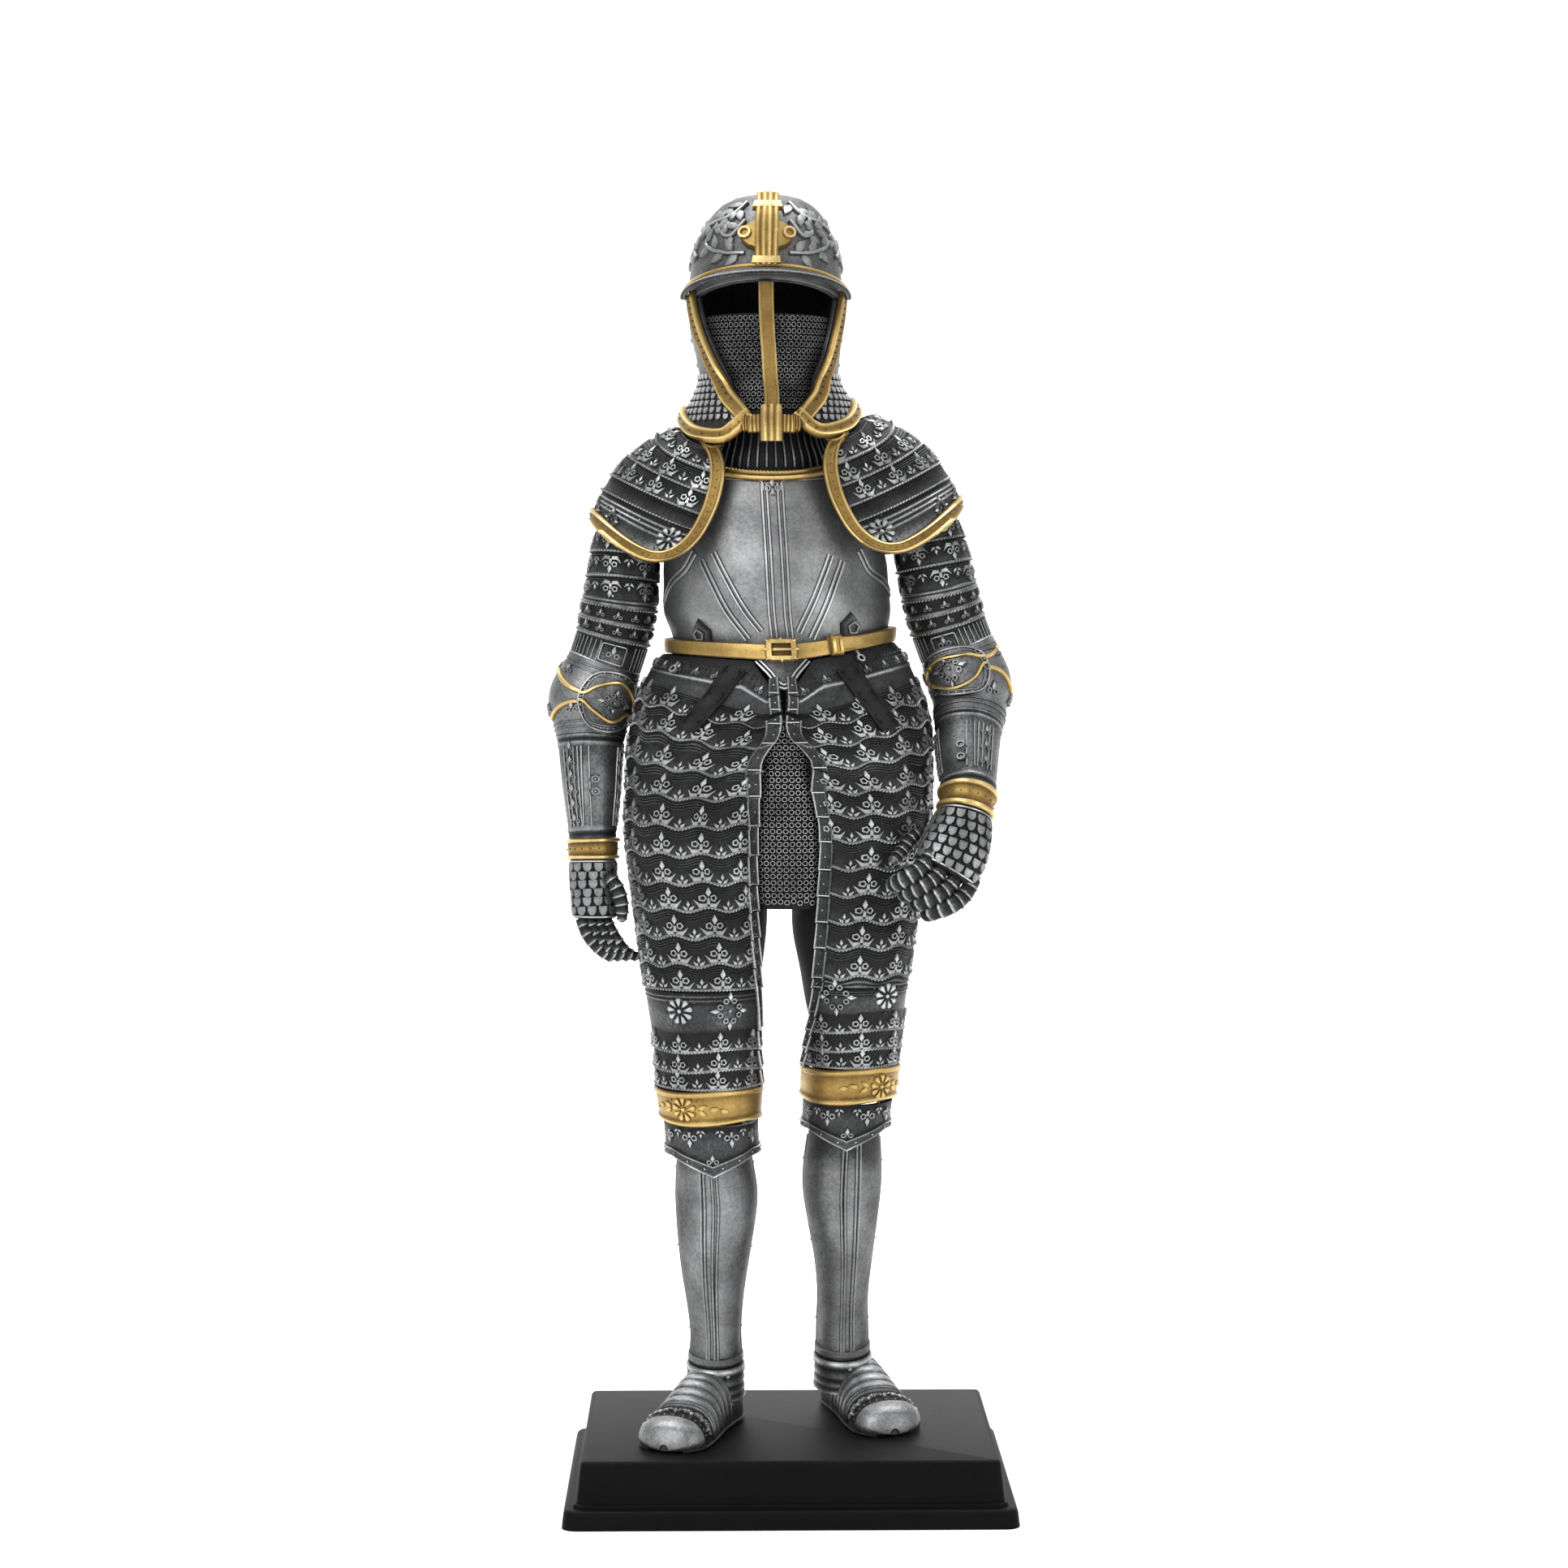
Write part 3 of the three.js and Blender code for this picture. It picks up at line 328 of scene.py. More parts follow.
def ridge(width, height, gap=0):
    """The profile of a raised line, moved to the path's right by the gap."""
    return [(gap - width / 2, 0), (gap - width / 5, height), (gap + width / 5, height), (gap + width / 2, 0)]


def even(*half):
    """A profile that is the same to both sides, listed from its middle outward."""
    return [(-x, *rest) for x, *rest in reversed(half) if x] + list(half)


def path(*points, steps=16):
    """A smooth path through a few (turn, height) points, evenly stepped."""
    p = np.array(points, float)
    if len(p) == 2:
        t = np.linspace(0, 1, steps + 1)[:, None]
        return mix(p[0], p[1], t).T
    at = reader([(i, *q) for i, q in enumerate(p)])
    return at(np.linspace(0, len(p) - 1, steps + 1))[1:]


def stations(surface, line, start, stop, step, through=None):
    """Even stations along a level line of a surface, one of them at the turn through: turns, heights, slopes."""
    turn = np.linspace(start, stop, 500)
    z = np.broadcast_to(read(line, turn), turn.shape)
    p, run = run_of(surface, line, turn)
    first = 0 if through is None else np.interp(through, turn, run) % step
    at = np.arange(first, run[-1], step)
    spots = np.interp(at, run, turn)
    heights = np.interp(spots, turn, z)
    flat = np.interp(spots, turn, np.gradient(np.linalg.norm(np.gradient(p, axis=0)[:, :2], axis=1).cumsum()))
    slope = np.degrees(np.arctan2(np.interp(spots, turn, np.gradient(z)), flat))
    return spots, heights, slope


# ---- Flat forms for the ornament -----------------------------------------------------------------
def ready(mesh):
    points = points_of(mesh)
    return mesh, points, points[:, 2].max()


def boss(outline, rise=0.45, crown=0.15, shrink=0.66):
    """A low form on an outline: a leaning wall and a crown that is poked up."""
    bm = bmesh.new()
    face = bm.faces.new([bm.verts.new((x, y, -SINK)) for x, y in outline])
    top = bmesh.ops.extrude_face_region(bm, geom=[face], use_keep_orig=True)["geom"]
    corners = [v for v in top if isinstance(v, bmesh.types.BMVert)]
    middle = sum((v.co.xy for v in corners), corners[0].co.xy * 0) / len(corners)
    for v in corners:
        v.co.xy = middle + (v.co.xy - middle) * shrink
        v.co.z = rise
    bmesh.ops.poke(bm, faces=[f for f in top if isinstance(f, bmesh.types.BMFace)], offset=crown)
    return ready(keep(bm, "boss"))


def slab(half_wide, half_high, rise, crown, shrink):
    """A boss on a rectangle."""
    x, y = half_wide, half_high
    return boss([(-x, -y), (x, -y), (x, y), (-x, y)], rise, crown, shrink)


def button(sides=6, radius=0.5, rise=0.35):
    """A rivet head."""
    angles = np.arange(sides) * math.tau / sides
    return boss([(radius * math.cos(a), radius * math.sin(a)) for a in angles], rise, rise * 0.25, 0.6)


def curl(radius, thick, rise, steps=8, sink=SINK):
    """A round wire, open in the middle, spun from a four-sided section."""
    bm = bmesh.new()
    section = [
        bm.verts.new((radius + dx, 0, h)) for dx,
        h in ((-thick, -sink), (thick, -sink), (thick * 0.55, rise), (-thick * 0.55, rise))
    ]
    edges = [bm.edges.new((section[i], section[(i + 1) % 4])) for i in range(4)]
    bmesh.ops.spin(bm, geom=section + edges, axis=(0, 0, 1), angle=math.tau, steps=steps, use_merge=True)
    return ready(keep(bm, "curl"))


def together(*parts):
    """Several forms in one: each is (form, x, y, lean, size)."""
    bm = bmesh.new()
    points = []
    for (mesh, co, _), x, y, lean, size in parts:
        bm.from_mesh(mesh)
        s, c = math.sin(math.radians(lean)), math.cos(math.radians(lean))
        points.append(
            np.stack(
                [x + size * (c * co[:, 0] - s * co[:, 1]), y + size * (s * co[:, 0] + c * co[:, 1]), co[:, 2]], -1
            )
        )
    joined = bpy.data.meshes.new("joined")
    bm.to_mesh(joined)
    bm.free()
    joined.vertices.foreach_set("co", np.concatenate(points).reshape(-1))
    return ready(joined)


def flipped(outline):
    return [(-x, y) for x, y in reversed(outline)]


PETAL = [(0, -0.1), (0.85, 1.35), (0, 3.2), (-0.85, 1.35)]
STEM = [(-0.55, 0), (0.55, 0), (0.42, 2), (-0.42, 2)]
SWAG = [(0, -0.1), (1.9, -0.4), (3.5, 2.2), (1.9, 0.95), (0, 0.95)]

petal = boss(PETAL, 0.62, 0.18, 0.72)
fleur = together(
    (petal, 0, 1.7, 0, 1),
    (boss(STEM, 0.55, 0.1, 0.7), 0, 0, 0, 1),
    (curl(0.7, 0.3, 0.6, 5), 1.22, 1.75, 0, 1),
    (curl(0.7, 0.3, 0.6, 5), -1.22, 1.75, 0, 1),
)
swags = together((boss(SWAG, 0.5, 0.12, 0.8), 0, -0.35, 0, 1), (boss(flipped(SWAG), 0.5, 0.12, 0.8), 0, -0.35, 0, 1))
crowned_fleur = together((fleur, 0, 0.1, 0, 1), (swags, 0, 0, 0, 1))
sprig = together(
    (boss([(0, -0.2), (0.6, 0.9), (0, 2.3), (-0.6, 0.9)], 0.52, 0.15, 0.62), 0, 0.5, 0, 1),
    (boss([(0.1, -0.2), (1, 0.1), (1.5, 1.3), (0.9, 0.9), (0.1, 0.6)], 0.48, 0.1, 0.8), 0, 0, 0, 1),
    (boss(flipped([(0.1, -0.2), (1, 0.1), (1.5, 1.3), (0.9, 0.9), (0.1, 0.6)]), 0.48, 0.1, 0.8), 0, 0, 0, 1),
)
rivet = button(6, 0.42, 0.3)
dot = button(5, 0.3, 0.28)
cord_turn = boss([(-0.52, -0.14), (0, -0.2), (0.52, 0.14), (0, 0.2)], 0.3, 0.1, 0.6)
leaf = boss([(0, 0), (0.95, 0.8), (1, 1.8), (0.3, 3.4), (-0.55, 2.2), (-0.75, 0.9)], 0.5, 0.2, 0.7)
half_petal = boss(
    [(0, 0.35), (0.42, 1.3), (0.95, 2.9), (0.45, 3.5), (-0.45, 3.5), (-0.95, 2.9), (-0.42, 1.3)], 0.5, 0.18, 0.62
)


def rosette(petals):
    step = 360 / petals
    return together(
        *[(half_petal, 0, 0, k * step, 1) for k in range(petals)],
        (button(8, 0.75, 0.55), 0, 0, 0, 1),
        *[
            (
                dot, 4.1 * math.sin(math.radians((k + 0.5) * step)), 4.1 * math.cos(math.radians((k + 0.5) * step)),
                0, 1
            ) for k in range(petals)
        ],
    )


daisy = rosette(9)
small_fleur = together(
    (petal, 0, 0.8, 0, 0.75), (curl(0.48, 0.24, 0.48, 6), 0.82, 0.95, 0, 1),
    (curl(0.48, 0.24, 0.48, 6), -0.82, 0.95, 0, 1)
)
cross = together(
    *[(small_fleur, 1 * math.sin(math.radians(-a)), 1 * math.cos(math.radians(a)), a, 1) for a in (0, 90, 180, 270)],
    (button(6, 0.5, 0.45), 0, 0, 0, 1)
)
scale_form = boss(
    [(-0.95, 0.9), (-0.95, -0.2), (-0.55, -0.95), (0, -1.2), (0.55, -0.95), (0.95, -0.2), (0.95, 0.9)], 0.5, 0.05,
    0.75
)
mail_ring = curl(0.56, 0.15, 0.4, 7, sink=0.1)


# ---- Finishes ------------------------------------------------------------------------------------
def nodes_for(name):
    material = bpy.data.materials.new(name)
    material.use_nodes = True
    tree = material.node_tree
    shader = tree.nodes["Principled BSDF"]

    def node(kind, **settings):
        made = tree.nodes.new(kind)
        for key, value in settings.items():
            setattr(made, key, value)
        return made

    def link(a, b):
        tree.links.new(a, b)

    return material, shader, node, link


def ramp(node, stops):
    made = node("ShaderNodeValToRGB")
    elements = made.color_ramp.elements
    while len(elements) > len(stops):
        elements.remove(elements[-1])
    while len(elements) < len(stops):
        elements.new(0.5)
    for element, (at, colour) in zip(elements, stops):
        element.position = at
        element.color = (*colour, 1)
    return made


def noise(node, link, place, scale, detail=4, roughness=0.6):
    made = node("ShaderNodeTexNoise")
    made.inputs["Scale"].default_value = scale
    made.inputs["Detail"].default_value = detail
    made.inputs["Roughness"].default_value = roughness
    link(place, made.inputs["Vector"])
    return made.outputs["Fac"]


def maths(node, link, operation, a, b, clamp=False):
    made = node("ShaderNodeMath", operation=operation, use_clamp=clamp)
    for socket, x in zip(made.inputs, (a, b)):
        if isinstance(x, (int, float)):
            socket.default_value = x
        else:
            link(x, socket)
    return made.outputs[0]


def ranged(node, link, value, socket, to, given=(0, 1)):
    """Sends a value to a socket, moved from one range to another."""
    made = node("ShaderNodeMapRange")
    for end, number in zip(("From Min", "From Max", "To Min", "To Max"), (*given, *to)):
        made.inputs[end].default_value = number
    link(value, made.inputs["Value"])
    link(made.outputs["Result"], socket)


def dented(node, link, value, shader, strength, depth):
    """Sends a value to a shader as small dents."""
    made = node("ShaderNodeBump")
    made.inputs["Strength"].default_value = strength
    made.inputs["Distance"].default_value = depth
    link(value, made.inputs["Height"])
    link(made.outputs["Normal"], shader.inputs["Normal"])


def coloured(node, link, value, shader, stops):
    """Sends a value to a shader's colour, by way of a ramp."""
    made = ramp(node, stops)
    link(value, made.inputs["Fac"])
    link(made.outputs["Color"], shader.inputs["Base Color"])


def patina(name, stops, metallic, rough, cloud, grain, bump=0.25):
    """Metal with a dark wash: the relief attribute runs from the washed hollows to the rubbed edges."""
    material, shader, node, link = nodes_for(name)
    place = node("ShaderNodeTexCoord").outputs["Object"]
    relief = node("ShaderNodeAttribute", attribute_name="relief").outputs["Fac"]
    clouds = noise(node, link, place, 90, 5, 0.62)
    specks = noise(node, link, place, 1400, 3, 0.7)
    spread = maths(node, link, "MULTIPLY", maths(node, link, "SUBTRACT", clouds, 0.5), cloud * 2)
    fine = maths(node, link, "MULTIPLY", maths(node, link, "SUBTRACT", specks, 0.5), grain * 2)
    tone = maths(node, link, "ADD", maths(node, link, "ADD", relief, spread), fine, True)
    coloured(node, link, tone, shader, stops)
    ranged(node, link, tone, shader.inputs["Roughness"], rough)
    ranged(node, link, tone, shader.inputs["Metallic"], (0, metallic), (0.1, 0.5))
    shader.inputs["Specular IOR Level"].default_value = 0.2
    dented(node, link, noise(node, link, place, 700, 6, 0.7), shader, bump, 0.15 * MM)
    return material


def grey(v, tint=0):
    return (v, v * (1 + tint * 0.5), v * (1 + tint))


dark_steel = patina(
    "washed_steel",
    [
        (0, grey(0.002)), (0.2, grey(0.008, 0.06)), (0.42, grey(0.05, 0.05)), (0.68, grey(0.22, 0.03)),
        (0.88, grey(0.4, 0.02)), (1, grey(0.5, 0.02))
    ],
    metallic=0.9, rough=(0.62, 0.34), cloud=0.24, grain=0.22, bump=0.35,
)
satin_steel = patina(
    "satin_steel",
    [
        (0, grey(0.003)), (0.25, grey(0.03, 0.04)), (0.5, grey(0.14, 0.03)), (0.75, grey(0.28, 0.02)),
        (1, grey(0.44, 0.02))
    ],
    metallic=0.92, rough=(0.6, 0.38), cloud=0.34, grain=0.2, bump=0.45,
)
gilt = patina(
    "washed_gilt",
    [
        (0, (0.014, 0.007, 0.002)), (0.25, (0.09, 0.05, 0.013)), (0.55, (0.28, 0.18, 0.055)),
        (0.8, (0.45, 0.32, 0.115)), (1, (0.66, 0.52, 0.25))
    ],
    metallic=0.85, rough=(0.52, 0.36), cloud=0.3, grain=0.16, bump=0.3,
)
mail_steel = patina(
    "mail_rings",
    [(0, grey(0.001)), (0.3, grey(0.006)), (0.55, grey(0.07)), (0.85, grey(0.3)), (1, grey(0.5))],
    metallic=0.85, rough=(0.6, 0.36), cloud=0.3, grain=0.2,
)


def matt(name, colour, rough, scale, bump, sheen=0, spec=0.5):
    """Matt black goods: cloth, leather and the painted plinth, each with its own grain."""
    material, shader, node, link = nodes_for(name)
    place = node("ShaderNodeTexCoord").outputs["Object"]
    grain = noise(node, link, place, scale, 5, 0.65)
    clouds = noise(node, link, place, 60, 3)
    half = [maths(node, link, "MULTIPLY", value, 0.5) for value in (grain, clouds)]
    tone = maths(node, link, "ADD", *half)
    shades = [(at, tuple(c * share for c in colour)) for at, share in ((0.3, 0.6), (0.7, 1.5))]
    coloured(node, link, tone, shader, shades)
    ranged(node, link, grain, shader.inputs["Roughness"], (rough - 0.08, rough + 0.08))
    dented(node, link, grain, shader, bump, 0.1 * MM)
    shader.inputs["Sheen Weight"].default_value = sheen
    shader.inputs["Specular IOR Level"].default_value = spec
    return material



hose_cloth = matt("hose_cloth", (0.006, 0.006, 0.007), 0.85, 2600, 0.5, sheen=0.1, spec=0.15)
strap_leather = matt("strap_leather", (0.005, 0.0045, 0.0045), 0.46, 900, 0.7, spec=0.17)
plinth_black = matt("plinth_black", (0.002, 0.002, 0.0022), 0.55, 3000, 0.1, spec=0.06)
METAL = [dark_steel, gilt, satin_steel, strap_leather]
DARK, GILT, SATIN, LEATHER = range(4)


# ---- Tables of sections --------------------------------------------------------------------------
torso = trunk([
    (252, -4.4, 15, 13, 11), (246.5, -4.3, 18.5, 17, 13.5), (240, -4, 24, 20, 15.5),
    (233, -3.6, 26.2, 22, 17), (226, -3.2, 27, 23.8, 17.6), (219, -2.9, 27.2, 25, 17.2),
    (212, -2.6, 27.4, 25.6, 16.2), (206, -2, 25.9, 25.2, 15.2), (201, -1.7, 26.2, 25.6, 15.6),
    (194, -1.3, 28.4, 27, 17),
])
half_turn_at = reader([
    (252, 40), (246.5, 36), (240, 44), (233, 58), (226, 78), (219, 89.5), (212, 89.5), (206, 89.5),
    (201, 89.5), (194, 89.5),
])
head = trunk([
    (312.9, -4.8, 0.01, 0.01, 0.01), (311.2, -4.9, 8.2, 9.5, 9.5), (307.4, -5, 13.2, 15.4, 15.4),
    (302.5, -5.2, 16, 18.8, 19), (297, -5.3, 17.7, 20.8, 21.3), (291, -5.4, 18.4, 21.8, 22.4),
    (285, -5.4, 18.6, 22, 22.6), (279, -5.2, 18.3, 21.6, 22), (273, -4.8, 17.3, 20.4, 20.2),
    (267.5, -4.5, 16.8, 19, 18.4), (263.5, -4.2, 18.6, 19.4, 18.8), (259.5, -4.2, 20.5, 20.8, 20.2),
    (256, -4.2, 21.6, 22.4, 21.4), (252.5, -4.2, 22.2, 23.6, 22.2),
])
neck = trunk([
    (258.5, -4.3, 12.5, 12.6, 12), (253, -4.3, 13.6, 14.6, 12.2), (248.5, -4.2, 15.6, 15.6, 12),
    (244.5, -4.2, 16.4, 15.4, 12),
])
veil = trunk([
    (199, -1.4, 19.6, 21.6, 16), (186, -1.2, 19.2, 20.6, 16), (176, -0.8, 15.7, 19, 16),
    (168, -0.5, 16, 17.5, 15), (158, -0.4, 16, 16, 14), (148, -0.5, 15.6, 14.8, 12),
    (141, -0.6, 14.8, 14, 11),
])
ARM = {
    "r": [
        (236, -37.2, 5, 7, 8.6), (228, -38.9, 5, 7.9, 9.4), (221, -39.9, 5.1, 8.3, 9.7),
        (213, -40.9, 5.4, 8.9, 9.8), (205, -42.6, 5.8, 8.7, 9.4), (198, -44.9, 6, 8.8, 9.2),
        (190.5, -47.5, 5.6, 10.2, 9.8), (184, -47.7, 4.4, 8.4, 8.8), (176, -47.7, 3, 7.5, 8),
        (168, -47.5, 1.6, 6.8, 7.2), (161, -47.3, 0.6, 5.9, 6.4), (155, -47.1, 0, 5.4, 5.8),
        (148, -47, -0.8, 5.2, 4.6), (140, -46.6, -1.8, 5, 3.6),
    ],
    "l": [
        (238, 32.2, 5, 6.6, 8.4), (230, 33.8, 5.2, 8.2, 9.4), (222, 35.6, 5.6, 8.8, 9.8),
        (214, 37.4, 6.2, 9, 9.8), (206, 39.8, 6.8, 9, 9.6), (200, 42.2, 6.6, 9.1, 9.4),
        (194, 44.1, 5, 9.8, 9.8), (188, 43.9, 2.6, 8.3, 8.8), (181, 43.2, -1.6, 7.8, 8.2),
        (175, 43, -5.4, 7.2, 7.4), (170, 42.8, -8.8, 6.5, 6.7), (165.5, 42, -11.6, 5.9, 5.8),
        (161, 40.8, -13.8, 6.9, 5), (156.5, 39.2, -15.8, 7.8, 4.4), (152, 37.2, -17.4, 7.6, 3.8),
        (148, 34.6, -18.4, 7.2, 3.4),
    ],
}
LEG = {
    "r": [
        (206, -1.9, 0, 26.4, 20.6, 2, -0.8), (203, -2, 0, 27.2, 21, 2, -0.8),
        (201, -2.2, 0.1, 29, 21.6, 2, -0.6), (197, -2.8, 0.4, 31, 22.4, 2.1, 0.5),
        (191, -4.6, 0.8, 31.8, 22.6, 2.2, 3.6), (184, -9.6, 1.6, 28.4, 22.2, 2.3, 12.7),
        (177, -15.2, 2.4, 23.6, 21.4, 2.4, 18), (170, -19.4, 2.8, 19.6, 20.4, 2.4, 36),
        (160, -21.7, 2.6, 17.6, 19.2, 2.4, 50), (146, -21.3, 1.8, 16.4, 17.8, 2.3, 53),
        (131, -20.6, 0.6, 15.2, 16.4, 2.2, 60), (118, -20.1, -0.4, 13.9, 15, 2.1, 72),
        (108, -19.7, -1.2, 12.8, 14, 2, 80), (98, -19.2, -1.6, 12.4, 13.4, 2, 88),
        (88, -18.6, -1.4, 11.3, 12.6, 2, 88), (76, -17.9, -0.8, 10.9, 12, 2, 88),
    ],
    "l": [
        (208, -2, 0, 26.4, 20.6, 2, -0.8), (205, -1.8, 0.1, 27.2, 21, 2, -0.8),
        (202, -1.4, 0.2, 29.2, 21.6, 2, -0.6), (198, -0.8, 0.6, 30.6, 22.3, 2.1, 0.5),
        (191, 1.6, 1.4, 31, 22.6, 2.2, 3.4), (184, 6.2, 2.6, 28, 22.4, 2.3, 11.7),
        (177, 11.4, 3.8, 23.2, 21.8, 2.4, 12.5), (170, 15.2, 5, 19.4, 20.8, 2.4, 26.8),
        (160, 17.2, 5.8, 17.2, 19.4, 2.4, 31.4), (146, 16.6, 6.2, 16, 17.8, 2.3, 34),
        (131, 15.8, 5.8, 14.6, 16.2, 2.2, 39), (118, 15.7, 5.4, 12.9, 14.8, 2.1, 51),
        (108, 15.4, 5.2, 11.9, 13.8, 2, 70), (98, 14.9, 5.2, 11.3, 13.2, 2, 88),
        (88, 14.1, 5.6, 10.5, 12.4, 2, 88), (76, 13.5, 6.4, 10.6, 12, 2, 88),
    ],
}
HOSE = {
    "r": [
        (164, -19.6, 4.4, 14.8, 13.2), (150, -18.8, 4, 14, 12), (141, -18.6, 3.6, 13.6, 11.4),
        (135, -18.4, 3, 13.3, 11), (124, -18.9, 1.8, 12, 10.2), (112, -19.6, 0, 10.4, 9.8),
        (100, -19.2, -1, 9.6, 9.6),
    ],
    "l": [
        (164, 15.4, 6.4, 14.8, 13.2), (150, 14.8, 6.6, 14.2, 12.2), (141, 14.7, 6.8, 13.8, 11.8),
        (135, 14.6, 6.6, 13.4, 11.4), (124, 14.9, 6.2, 11.8, 10.6), (112, 15.4, 5.6, 10, 9.8),
        (100, 14.9, 5.4, 9, 9.2),
    ],
}
SHIN = {
    "r": [
        (92, -18.3, -0.8, 8.2, 9.4), (83, -18.1, 0.1, 8.6, 9.8), (76, -17.7, 1, 9.4, 10.6),
        (70, -17.4, 1.7, 9.8, 10.8), (61, -17.7, 2.4, 9, 10.2), (52, -17.9, 2.8, 7.8, 9),
        (44, -17.8, 3.2, 6.6, 7.8), (37, -17.6, 3.6, 6, 7.2), (30, -17.6, 4.2, 6.3, 7.5),
        (20, -17.8, 5, 6.6, 8.2),
    ],
    "l": [
        (92, 13.9, 5.8, 8, 9.4), (85, 13.7, 6.4, 8.7, 9.9), (77, 13.4, 7.9, 9.4, 10.6),
        (71, 13.3, 8.8, 9.4, 10.8), (63, 13.5, 9.6, 8.4, 10), (54, 13.7, 10.6, 7, 8.8),
        (45, 13.6, 11.6, 6.1, 7.7), (37, 13.5, 12.6, 6.2, 7.4), (30, 13.6, 13.4, 6.4, 7.7),
        (20, 13.8, 14.6, 6.6, 8.2),
    ],
}
SIGN = {"r": -1, "l": 1}
arm = {side: limb(rows) for side, rows in ARM.items()}
leg = {side: thigh(rows) for side, rows in LEG.items()}
shin = {side: limb(rows) for side, rows in SHIN.items()}
hose = {side: limb(rows) for side, rows in HOSE.items()}
leg_edge = {side: reader(rows) for side, rows in LEG.items()}


def near_front(turn):
    """A turn brought to between -180 and 180."""
    return (np.asarray(turn, float) + 180) % 360 - 180


def belt_middle(turn):
    s = np.sin(np.radians(near_front(turn)))
    return np.where(s < 0, 203.1 - 1.4 * s, 203.1 + 4.2 * np.maximum(s, 0) ** 1.3)


def waist_point(turn):
    return 6.4 * np.maximum(1 - np.abs(turn) / 13, 0)


def fauld_low(turn):
    return 188.7 + 7.4 * np.abs(np.sin(np.radians(turn)))


# ---- Skirt, tassets and thigh plates -------------------------------------------------------------
# One lame from its top edge down: three fine lines, a dark field for the fleurs, and a roped lower edge.
LAME = np.array([
    (0, 0, 0.02), (0.05, 0, 0.05), (0.1, 0.3, 0.5), (0.145, 0, 0.08), (0.19, 0.3, 0.5), (0.235, 0, 0.08),
    (0.28, 0.3, 0.48), (0.325, 0, 0.1), (0.6, 0.03, 0.22), (0.84, 0.12, 0.32), (0.885, 0.5, 0.55),
    (0.955, 0.58, 0.62),
    (1, 0.3, 0.3),
])
PLAIN = np.array([
    (0, 0, 0.02), (0.05, 0, 0.06), (0.1, 0.3, 0.6), (0.15, 0, 0.1), (0.2, 0.3, 0.6), (0.25, 0, 0.14),
    (0.35, 0.05, 0.36),
    (0.6, 0.05, 0.42), (0.9, 0.05, 0.38), (1, 0, 0.2),
])


def banded(kinds):
    """The rows and the form of a stack of lames, one kind of profile for each level."""
    kinds = [np.array(kind, float) for kind in kinds]
    rows = np.concatenate([k + kind[:, 0] for k, kind in enumerate(kinds)])
    rows = np.round(rows, 6)
    for last in np.cumsum([len(kind) for kind in kinds])[:-1].astype(int) - 1:
        rows[last] -= 1e-4
    heights = np.concatenate([kind[:, 1] for kind in kinds])
    reliefs = np.concatenate([kind[:, 2] for kind in kinds])

    def form(turn, z, row):
        i = np.clip(np.searchsorted(rows, row + 2e-5) - 1, 0, len(rows) - 1)
        return heights[i], reliefs[i]

    return rows, form


EDGES = {
    "r": [180.2, 173.9, 167.8, 161.1, 154.5, 147.9, 141.6, 135, 128.4, 122.3],
    "l": [180.7, 175.7, 169.4, 163.8, 157.7, 151, 144.6, 138.1, 131.8, 124.7, 122.2],
}
RISE = [5.2, 3.6, 2.2, 1.2, 0.5, 0]
CENTRE_X = {
    "r": [(190, -21.5), (165, -21.3), (150, -20.6), (136, -17.5), (122, -15.6), (98, -17)],
    "l": [(190, 18), (165, 19.8), (150, 19.2), (136, 17.4), (122, 16.6), (98, 17.5)]
}


def turn_of_x(surface, x, z):
    """The turn at which the front of a surface has that x."""
    turns = np.linspace(-80, 80, 321)
    p = surface(turns, np.full(321, float(z)))
    return float(np.interp(x, p[:, 0], turns))


def column_turn(side, z):
    spots = sorted(CENTRE_X[side])
    return turn_of_x(leg[side], np.interp(z, [s[0] for s in spots], [s[1] for s in spots]), z)


def reach(sign, inner, outer):
    """The left and right edges of a plate that runs from its inner edge out to the wearer's side."""
    if not callable(outer):
        outer = sign * outer
    return (inner, outer) if sign > 0 else (outer, inner)


def row_line(base, rise):
    return lambda turn: base + rise * np.abs(np.sin(np.radians(turn))) ** 1.2


def fleur_row(work, line, start, stop, through, step=FLEUR_PITCH, size=1, upside=False):
    """A row of crowned fleurs that stand on a line, with a small sprig between each pair."""
    lean = 180 if upside else 0
    turn, z, slope = stations(work.surface, line, start, stop, step / 2, through)
    main = (np.arange(len(turn)) - np.argmin(np.abs(turn - through))) % 2 == 0
    z = z + (-0.3 if upside else 0.3)
    for form, pick in ((crowned_fleur, main), (sprig, ~main)):
        work.stamp(form, turn[pick], z[pick], size, 0.35 * slope[pick] + lean)


def roped(work, line, start, stop, pitch=0.85, size=1, out=0.45, finish=None):
    """Turns of a rope laid along an edge."""
    turn, z, slope = stations(work.surface, line, start, stop, pitch)
    work.stamp(cord_turn, turn, z, size, slope + ROPE_LEAN, out, relief=(0.35, 1), finish=finish)


